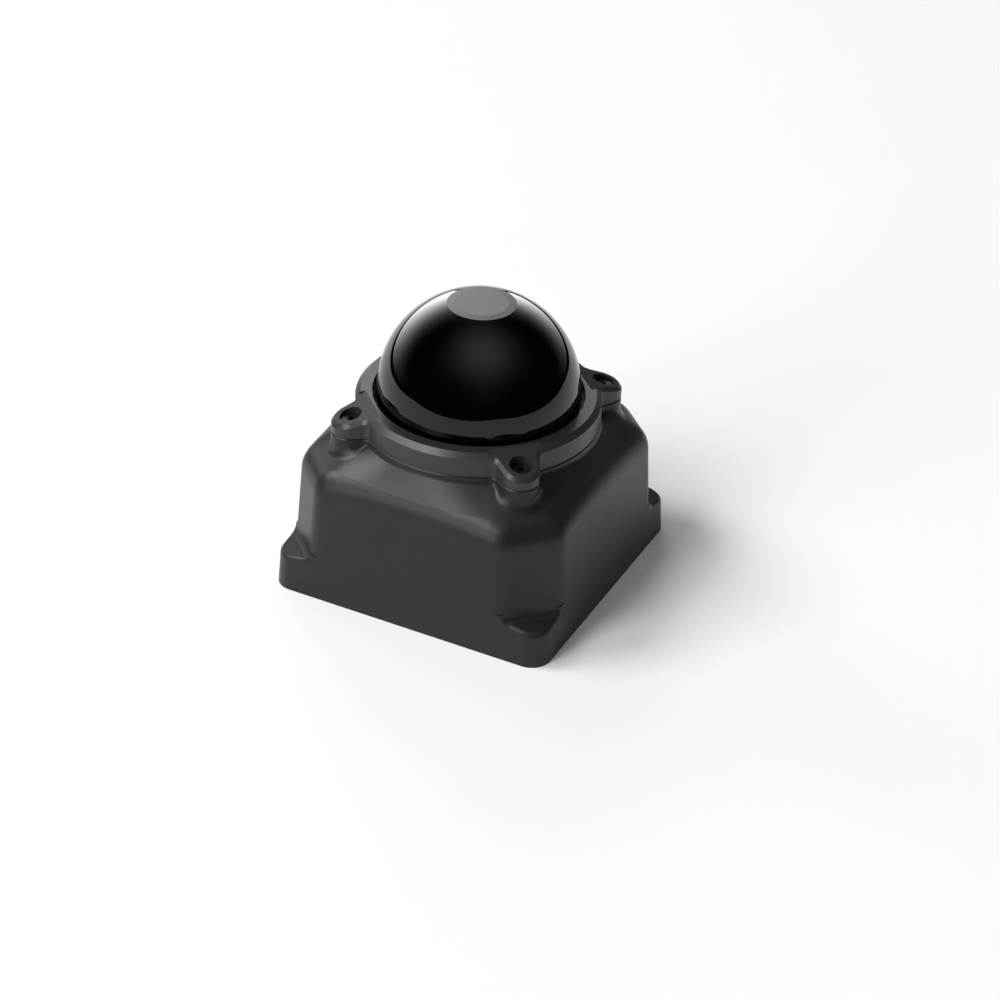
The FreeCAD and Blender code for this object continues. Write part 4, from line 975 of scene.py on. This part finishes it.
@dataclass
class ClampRing(SubAssembly):
    """Eared ring and the four low-head screws that hold it."""

    head_r: float = 2.25 * MM
    head_h: float = 1.7 * MM
    head_round: float = 0.28 * MM
    head_round_steps: int = 5
    head_rim: float = 0.95
    shank_r: float = 1.25 * MM
    shank_length: float = 6.0 * MM
    point_bevel: float = 0.3 * MM
    socket_flats: float = 1.5 * MM
    socket_depth: float = 0.9 * MM
    socket_point: float = 0.35
    socket_mouth: float = 0.12 * MM
    socket_flare: float = 1.35
    sides: int = 64

    def finishes(self) -> dict[str, Finish]:
        """Finish of each CAD node that shows as it is."""
        return {"clamp_ring": RING_COAT}

    def screw(self) -> Workpiece:
        """Low-head socket screw whose head stands on the origin.

        Returns:
            The finished screw.
        """
        screw = Workpiece.cylinder("ring_screw", self.head_r, 0.0, self.head_h, self.sides)
        screw.edit()
        screw.pick(Element.FACE, lambda p, n: n.z < -SQUARE_ON)
        bpy.ops.mesh.inset(thickness=self.head_r - self.shank_r, depth=0.0)
        screw.extrude(-self.shank_length)
        screw.pick(Element.EDGE, lambda p, n: abs(p.z + self.shank_length) < TOUCH)
        bpy.ops.mesh.bevel(offset=self.point_bevel, segments=1, affect="EDGES")
        screw.pick(
            Element.EDGE,
            lambda p, n: abs(p.z - self.head_h) < TOUCH and p.xy.length > self.head_rim * self.head_r,
        )
        bpy.ops.mesh.bevel(offset=self.head_round, segments=self.head_round_steps, affect="EDGES")
        bpy.ops.object.mode_set(mode="OBJECT")
        screw.combine(self.socket(), Merge.CUT)
        return screw

    def socket(self) -> Workpiece:
        """Hexagonal cutter with a pointed end and a flared mouth.

        Returns:
            Cutter for the socket.
        """
        across = self.socket_flats / math.sqrt(3.0)
        floor = self.head_h - self.socket_depth
        cutter = Workpiece.cylinder("socket_cutter", across, floor, self.head_h, 6)
        cutter.edit()
        cutter.pick(Element.FACE, lambda p, n: n.z < -SQUARE_ON)
        cutter.extrude(-self.socket_point * self.socket_depth)
        bpy.ops.mesh.merge(type="CENTER")
        cutter.pick(Element.FACE, lambda p, n: n.z > SQUARE_ON)
        cutter.extrude(self.socket_mouth)
        bpy.ops.transform.resize(value=(self.socket_flare, self.socket_flare, 1.0))
        bpy.ops.object.mode_set(mode="OBJECT")
        return cutter

    def build(self) -> None:
        """Models one screw and sets copies of it into the ears."""
        low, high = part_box("ring_screws")
        reach = high.x - self.head_r
        seat = high.z - self.head_h
        pattern = self.screw()
        for count, (x, y) in enumerate(((-1, -1), (1, -1), (1, 1), (-1, 1)), start=1):
            screw = pattern.copy(f"ring_screw_{count}")
            screw.move(Vector((x * reach, y * reach, seat)))
            screw.fit("base", "ring_screws", "black_steel", BLACK_OXIDE)
        bpy.data.objects.remove(pattern.obj)


@dataclass
class CableInlet(SubAssembly):
    """Round bulkhead inlet on the rear wall."""

    axis_height: float = 13.5 * MM
    body_r: float = 6.4 * MM
    body_start: float = 24.6 * MM
    flange_r: float = 7.6 * MM
    flange_start: float = 35.8 * MM
    flange_end: float = 37.8 * MM
    flat_half: float = 6.8 * MM
    edge_round: float = 0.18 * MM
    edge_round_steps: int = 3
    edge_angle: float = 50.0
    nose_end: float = 45.8 * MM
    nose_bevel: float = 0.5 * MM
    bore_r: float = 4.7 * MM
    relief: float = 0.6 * MM
    crest_r: float = 6.0 * MM
    root_r: float = 5.39 * MM
    core_gap: float = 0.06 * MM
    pitch: float = 1.0 * MM
    thread_weld: float = 0.001 * MM
    overrun: float = 0.2 * MM
    overcut: float = 1.0 * MM
    steps: int = 96

    def finishes(self) -> dict[str, Finish]:
        """Finish of each CAD node that shows as it is."""
        return {
            "connector_insert": INSERT_BLACK,
            "connector_contacts": GOLD_PLATE,
            "connector_seal": SEAL_RUBBER,
            "connector_nut": self.plating(),
        }

    def plating(self) -> Finish:
        """Nickel plate with rings about the inlet's axis."""
        return MachinedMetal("nickel_plate", (0.52, 0.50, 0.45), (0.66, 0.64, 0.59), Lay.BORED,
                             roughness=0.24, mark=0.12 * MM, axis_height=self.axis_height)

    def thread(self) -> Workpiece:
        """Threaded rod whose thread runs out at both ends.

        Returns:
            Closed rod from the relief to the nose.
        """
        start = self.flange_end - self.overrun
        runout = self.flange_end + self.relief
        quarter, eighth = self.pitch / 4, self.pitch / 8
        flank = (self.pitch - quarter - eighth) / 2
        tooth = (
            (self.root_r, start),
            (self.root_r, start + quarter),
            (self.crest_r, start + quarter + flank),
            (self.crest_r, start + quarter + flank + eighth),
            (self.root_r, start + self.pitch),
        )
        rod = Workpiece.line("inlet_thread", tooth, 0.0)
        turns = math.ceil((self.nose_end - start) / self.pitch) + 1
        rod.modify("SCREW", {
            "axis": "Y", "angle": 2 * math.pi, "screw_offset": self.pitch, "iterations": turns,
            "steps": self.steps, "render_steps": self.steps, "use_merge_vertices": True,
            "merge_threshold": self.thread_weld,
        })
        rod.move(OBJECT_UP * self.axis_height)
        rod.edit()
        rod.close()
        rod.slice(OBJECT_REAR * (self.nose_end + self.overrun), OBJECT_REAR)
        rod.slice(OBJECT_REAR * (runout - self.overrun / 2), -OBJECT_REAR)
        run_in = self.crest_r - self.root_r
        envelope = Workpiece.turned("thread_envelope", (
            (0.0, runout),
            (self.root_r, runout),
            (self.crest_r, runout + run_in),
            (self.crest_r, self.nose_end - self.nose_bevel),
            (self.crest_r - self.nose_bevel, self.nose_end),
            (0.0, self.nose_end),
        ), self.axis_height, self.steps)
        rod.combine(envelope, Merge.CROSS)
        return rod

    def bore(self) -> Workpiece:
        """Cutter for the bore, laid along the inlet's axis.

        Returns:
            Closed cylinder that reaches past both ends of the shell.
        """
        low, high = -self.nose_end - self.overcut, self.overcut - self.body_start
        bore = Workpiece.cylinder("inlet_bore", self.bore_r, low, high, self.steps)
        bore.edit()
        bpy.ops.mesh.select_all(action="SELECT")
        bpy.ops.transform.rotate(value=math.pi / 2, orient_axis="X", center_override=(0.0, 0.0, 0.0))
        bpy.ops.object.mode_set(mode="OBJECT")
        if bore.obj.bound_box[0][1] < 0.0:
            bore.obj.data.transform(Matrix.Rotation(math.pi, 4, "Z"))
        bore.move(OBJECT_UP * self.axis_height)
        return bore

    def build(self) -> None:
        """Models the shell with its flats, its thread and its bore."""
        core = self.root_r - self.core_gap
        shell = Workpiece.turned("inlet_shell", (
            (0.0, self.body_start),
            (self.body_r, self.body_start),
            (self.body_r, self.flange_start),
            (self.flange_r, self.flange_start),
            (self.flange_r, self.flange_end),
            (core, self.flange_end),
            (core, self.nose_end - self.nose_bevel),
            (0.0, self.nose_end - self.nose_bevel),
        ), self.axis_height, self.steps)
        for side in (-1.0, 1.0):
            shell.slice(Vector((side * self.flat_half, 0.0, 0.0)), Vector((side, 0.0, 0.0)))
        shell.modify("BEVEL", {
            "width": self.edge_round, "segments": self.edge_round_steps,
            "limit_method": "ANGLE", "angle_limit": math.radians(self.edge_angle),
        })
        shell.combine(self.thread(), Merge.JOIN)
        shell.combine(self.bore(), Merge.CUT)
        shell.fit("base", "connector_shell", "nickel_brass", self.plating())


@dataclass
class BoardStack(SubAssembly):
    """Circuit boards on the bottom cover."""

    def finishes(self) -> dict[str, Finish]:
        """Finish of each CAD node that shows as it is."""
        return {
            "main_board": BOARD_GREEN,
            "power_board": BOARD_GREEN,
            "processor": CHIP_BLACK,
            "thermal_pad": HEAT_PAD,
            "board_standoffs": GROUND_STEEL,
            "board_spacers": GROUND_STEEL,
            "board_screws": GROUND_STEEL,
            "board_header": INSERT_BLACK,
            "power_inductor": FERRITE_GREY,
            "power_capacitors": FACED_ALUMINIUM,
        }


@dataclass
class ScanMotor(SubAssembly):
    """Bearing carrier, motor and the turning hub."""

    def finishes(self) -> dict[str, Finish]:
        """Finish of each CAD node that shows as it is."""
        return {
            "bearing_carrier": TURNED_ALUMINIUM,
            "rotor_hub": TURNED_ALUMINIUM,
            "carrier_screws": GROUND_STEEL,
            "axle": GROUND_STEEL,
            "stator_core": GROUND_STEEL,
            "bearing_inner_rings": GROUND_STEEL,
            "bearing_outer_rings": GROUND_STEEL,
            "bearing_spacers": GROUND_STEEL,
            "retaining_ring": GROUND_STEEL,
            "rotor_magnets": GROUND_STEEL,
            "encoder_disc": GROUND_STEEL,
            "stator_windings": COPPER_WIRE,
            "power_coil_fixed": FERRITE_GREY,
            "power_coil_rotor": FERRITE_GREY,
            "encoder_sensor": INSERT_BLACK,
            "link_emitter": CHIP_BLACK,
            "link_receiver": CHIP_BLACK,
        }


@dataclass
class OpticalHead(SubAssembly):
    """Turning block with the emitting and the receiving lens."""

    def finishes(self) -> dict[str, Finish]:
        """Finish of each CAD node that shows as it is."""
        return {
            "optics_block": BLACK_ANODISED,
            "emitter_barrel": BLACK_ANODISED,
            "receiver_barrel": BLACK_ANODISED,
            "emitter_lens": LENS_GLASS,
            "receiver_lens": LENS_GLASS,
            "emitter_board": BOARD_GREEN,
            "detector_board": BOARD_GREEN,
            "rotor_board": BOARD_GREEN,
            "rotor_board_screws": GROUND_STEEL,
            "block_screws": GROUND_STEEL,
            "balance_weight": TURNED_BRASS,
        }


@dataclass(frozen=True)
class SoftGlow(Finish):
    """Light of a soft bank that fades out from its middle."""

    middle: Vector
    spread: tuple[float, float]
    peak: float

    def paint(self, graph: ShaderGraph) -> Signal:
        """Glow that falls off to both sides and up and down.

        Args:
            graph: Empty graph of the material.

        Returns:
            The shader's output.
        """
        side = OBJECT_UP.cross(self.middle).normalized()
        rise = self.middle.cross(side)
        ahead, across, above = (self.along(graph, axis) for axis in (self.middle, side, rise))
        wide = graph.maths("ARCTAN2", across, ahead) / math.radians(self.spread[0])
        tall = graph.maths("ARCTAN2", above, ahead) / math.radians(self.spread[1])
        fall = graph.maths("EXPONENT", (wide * wide + tall * tall) * -0.5)
        glow = graph.blend(fall, BLACK, WHITE)
        light = graph.out(graph.node("ShaderNodeEmission", None, {"Color": glow, "Strength": self.peak}))
        clear = graph.out(graph.node("ShaderNodeBsdfTransparent"))
        return graph.out(graph.node("ShaderNodeAddShader", None, {0: light, 1: clear}))

    @staticmethod
    def along(graph: ShaderGraph, axis: Vector) -> Signal:
        """How far a point lies along an axis through the origin."""
        dot = graph.node("ShaderNodeVectorMath", {"operation": "DOT_PRODUCT"}, {0: graph.place(), 1: axis})
        return graph.out(dot, "Value")


@dataclass(frozen=True)
class PaleGround(Finish):
    """Matte pale ground that keeps the part's shadow."""

    colour: Colour
    roughness: float = 0.9
    fleck: float = 40.0 * MM
    fleck_shade: float = 0.99

    def paint(self, graph: ShaderGraph) -> Signal:
        """Even ground with the faintest flecks.

        Args:
            graph: Empty graph of the material.

        Returns:
            The shader's output.
        """
        shade = tuple(self.fleck_shade * c for c in self.colour)
        return graph.surface({
            "Base Color": graph.blend(graph.noise(self.fleck), self.colour, shade),
            "Roughness": self.roughness,
            "Specular IOR Level": 0.0,
        })


@dataclass(frozen=True)
class DimRoom(Finish):
    """Dim even glow of a room's walls."""

    level: float

    def paint(self, graph: ShaderGraph) -> Signal:
        """Even grey glow."""
        sockets = {"Color": opaque(WHITE), "Strength": self.level}
        return graph.out(graph.node("ShaderNodeEmission", None, sockets))


def seen_ray(graph: ShaderGraph) -> Signal:
    """One for rays that show the background to the eye, in a mirror or through glass.

    Args:
        graph: Graph to add the nodes to.

    Returns:
        Zero or one.
    """
    path = graph.node("ShaderNodeLightPath")
    direct = graph.out(path, "Is Camera Ray") + graph.out(path, "Is Glossy Ray")
    return graph.maths("ADD", direct, graph.out(path, "Is Transmission Ray"), clamp=True)


def aim(azimuth: float, elevation: float) -> Vector:
    """Direction from the part towards a light or the camera.

    Args:
        azimuth: Degrees from the front at -Y towards +X.
        elevation: Degrees above the horizon.

    Returns:
        Direction of length 1.
    """
    turn, lift = math.radians(azimuth), math.radians(elevation)
    return Vector((math.sin(turn) * math.cos(lift), -math.cos(turn) * math.cos(lift), math.sin(lift)))


class LightFall(Enum):
    """Which pieces a light falls on."""

    DOME_ONLY = "INCLUDE"
    ALL_BUT_DOME = "EXCLUDE"


@dataclass(frozen=True)
class Softbox:
    """Round soft lamp; a white card square to it shows as its level."""

    name: str
    azimuth: float
    elevation: float
    level: float
    size: float


@dataclass(frozen=True)
class Bank:
    """Curved bank of soft light, with its fall-off in degrees across and up."""

    name: str
    azimuth: float
    elevation: float
    spread: tuple[float, float]
    peak: float
    reach: float
    distance: float


KEY_LAMPS = (
    Softbox("left_key", -70.0, 50.0, 0.54, 1.4),
    Softbox("front_key", -27.0, 46.0, 0.42, 1.4),
    Softbox("front_low", -21.0, 18.0, 0.25, 1.6),
    Softbox("left_low", -105.0, 22.0, 0.11, 1.6),
    Softbox("rear_fill", -145.0, 27.0, 0.19, 1.8),
    Softbox("overhead", 30.0, 80.0, 0.09, 2.2),
)
DOME_BANKS = (
    Bank("rear_bank", -145.0, 10.0, (25.0, 18.5), 6.5, 84.0, 4.6),
    Bank("top_bank", 35.0, 70.0, (21.0, 21.0), 0.86, 84.0, 4.2),
)


@dataclass
class Studio:
    """Camera, ground and soft light."""

    azimuth: float = 25.651
    elevation: float = 33.06
    distance: float = 602.24 * MM
    lens: float = 93.1
    roll: float = 2.307
    target_side: float = 5.761 * MM
    target_height: float = 14.944 * MM
    sensor: float = 36.0
    nearest: float = 0.01
    farthest: float = 20.0
    ground_half: float = 0.40
    ground_colour: Colour = (0.92, 0.92, 0.92)
    lamp_r: float = 3.6
    bank_foot: float = -3.0
    room_r: float = 5.2
    room_level: float = 0.14
    shell_cuts: int = 3

    def camera(self) -> None:
        """Sets the camera at the photograph's viewing angle."""
        turn, roll = math.radians(self.azimuth), math.radians(self.roll)
        right = Vector((math.cos(turn), math.sin(turn), 0.0))
        back = aim(self.azimuth, self.elevation)
        up = back.cross(right)
        side = right * math.cos(roll) + up * math.sin(roll)
        top = up * math.cos(roll) - right * math.sin(roll)
        target = right * self.target_side + OBJECT_UP * self.target_height
        data = bpy.data.cameras.new("camera")
        data.lens = self.lens
        data.sensor_width = self.sensor
        data.clip_start = self.nearest
        data.clip_end = self.farthest
        camera = bpy.data.objects.new("camera", data)
        pose = Matrix((side, top, back)).transposed().to_4x4()
        pose.translation = target + back * self.distance
        camera.matrix_world = pose
        bpy.context.scene.collection.objects.link(camera)
        bpy.context.scene.camera = camera

    def ground(self) -> None:
        """Lays the pale ground under the foot."""
        Workpiece.clear_bench()
        bpy.ops.mesh.primitive_plane_add(size=2 * self.ground_half)
        ground = bpy.context.object
        ground.name = "ground"
        ground.data.materials.append(PaleGround("pale_ground", self.ground_colour).material())

    def softbox(self, box: Softbox) -> None:
        """Hangs one round soft lamp that lights everything but the dome.

        Args:
            box: Place, size and level of the lamp.
        """
        towards = aim(box.azimuth, box.elevation)
        data = bpy.data.lights.new(box.name, "AREA")
        data.shape = "DISK"
        data.size = box.size
        data.energy = box.level * (math.pi * self.lamp_r) ** 2
        lamp = bpy.data.objects.new(box.name, data)
        lamp.location = towards * self.lamp_r
        lamp.rotation_euler = towards.to_track_quat("Z", "Y").to_euler()
        lamp.light_linking.receiver_collection = self.dome_group(LightFall.ALL_BUT_DOME)
        bpy.context.scene.collection.objects.link(lamp)

    @staticmethod
    def dome_group(fall: LightFall) -> bpy.types.Collection:
        """Group that says whether a light falls on the dome.

        Args:
            fall: Which pieces the light falls on.

        Returns:
            The group, made at its first use.
        """
        name = fall.name.lower()
        found = bpy.data.collections.get(name)
        if found is not None:
            return found
        group = bpy.data.collections.new(name)
        group.objects.link(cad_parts["dome_window"])
        for member in group.collection_objects:
            member.light_linking.link_state = fall.value
        return group

    def sphere(self, name: str, radius: float) -> Workpiece:
        """Round shell about the part.

        Args:
            name: Name of the shell.
            radius: Its radius, in metres.

        Returns:
            The new shell.
        """
        Workpiece.clear_bench()
        bpy.ops.mesh.primitive_ico_sphere_add(subdivisions=self.shell_cuts, radius=radius)
        shell = Workpiece(bpy.context.object)
        shell.obj.name = name
        return shell

    def bank(self, bank: Bank) -> None:
        """Hangs a curved soft bank that shows in the dome alone.

        Args:
            bank: Place, fall-off and level of the bank.
        """
        middle = aim(bank.azimuth, bank.elevation)
        sheet = self.sphere(bank.name, bank.distance)
        foot = OBJECT_UP * math.sin(math.radians(self.bank_foot)) * bank.distance
        rim = middle * math.cos(math.radians(bank.reach)) * bank.distance
        sheet.slice(foot, -OBJECT_UP, closed=False)
        sheet.slice(rim, -middle, closed=False)
        glow = SoftGlow(f"{bank.name}_glow", middle, bank.spread, bank.peak)
        sheet.obj.data.materials.append(glow.material())
        sheet.obj.visible_camera = False
        sheet.obj.visible_diffuse = False
        sheet.obj.visible_shadow = False
        sheet.obj.light_linking.receiver_collection = self.dome_group(LightFall.DOME_ONLY)

    def room(self) -> None:
        """Puts up the dim room, which the dome doesn't mirror."""
        room = self.sphere("dim_room", self.room_r).obj
        room.data.materials.append(DimRoom("room_glow", self.room_level).material())
        room.visible_camera = False
        room.visible_transmission = False
        room.light_linking.receiver_collection = self.dome_group(LightFall.ALL_BUT_DOME)

    def world(self) -> None:
        """Makes the surroundings white to the eye and dark elsewhere."""
        world = bpy.data.worlds.new("studio")
        world.use_nodes = True
        bpy.context.scene.world = world
        graph = ShaderGraph(world.node_tree)
        white = opaque(WHITE)
        dark, pale = (
            graph.out(graph.node("ShaderNodeBackground", None, {"Color": white, "Strength": strength}))
            for strength in (0.0, 1.0)
        )
        mixed = graph.node("ShaderNodeMixShader", None, {0: seen_ray(graph), 1: dark, 2: pale})
        graph.node("ShaderNodeOutputWorld", None, {"Surface": graph.out(mixed)})

    def build(self) -> None:
        """Sets up the whole studio."""
        bpy.context.scene.view_settings.view_transform = "Standard"
        self.camera()
        self.ground()
        for box in KEY_LAMPS:
            self.softbox(box)
        for bank in DOME_BANKS:
            self.bank(bank)
        self.room()
        self.world()


def main() -> None:
    """Builds and dresses every sub-assembly, then the studio."""
    logging.basicConfig(level=logging.INFO, format="%(name)s: %(message)s")
    assemblies = (
        HousingShell(), DomeCover(), ClampRing(), CableInlet(), BoardStack(), ScanMotor(), OpticalHead(),
    )
    for assembly in assemblies:
        assembly.build()
        assembly.dress()
    Studio().build()


if __name__ == "__main__":
    main()
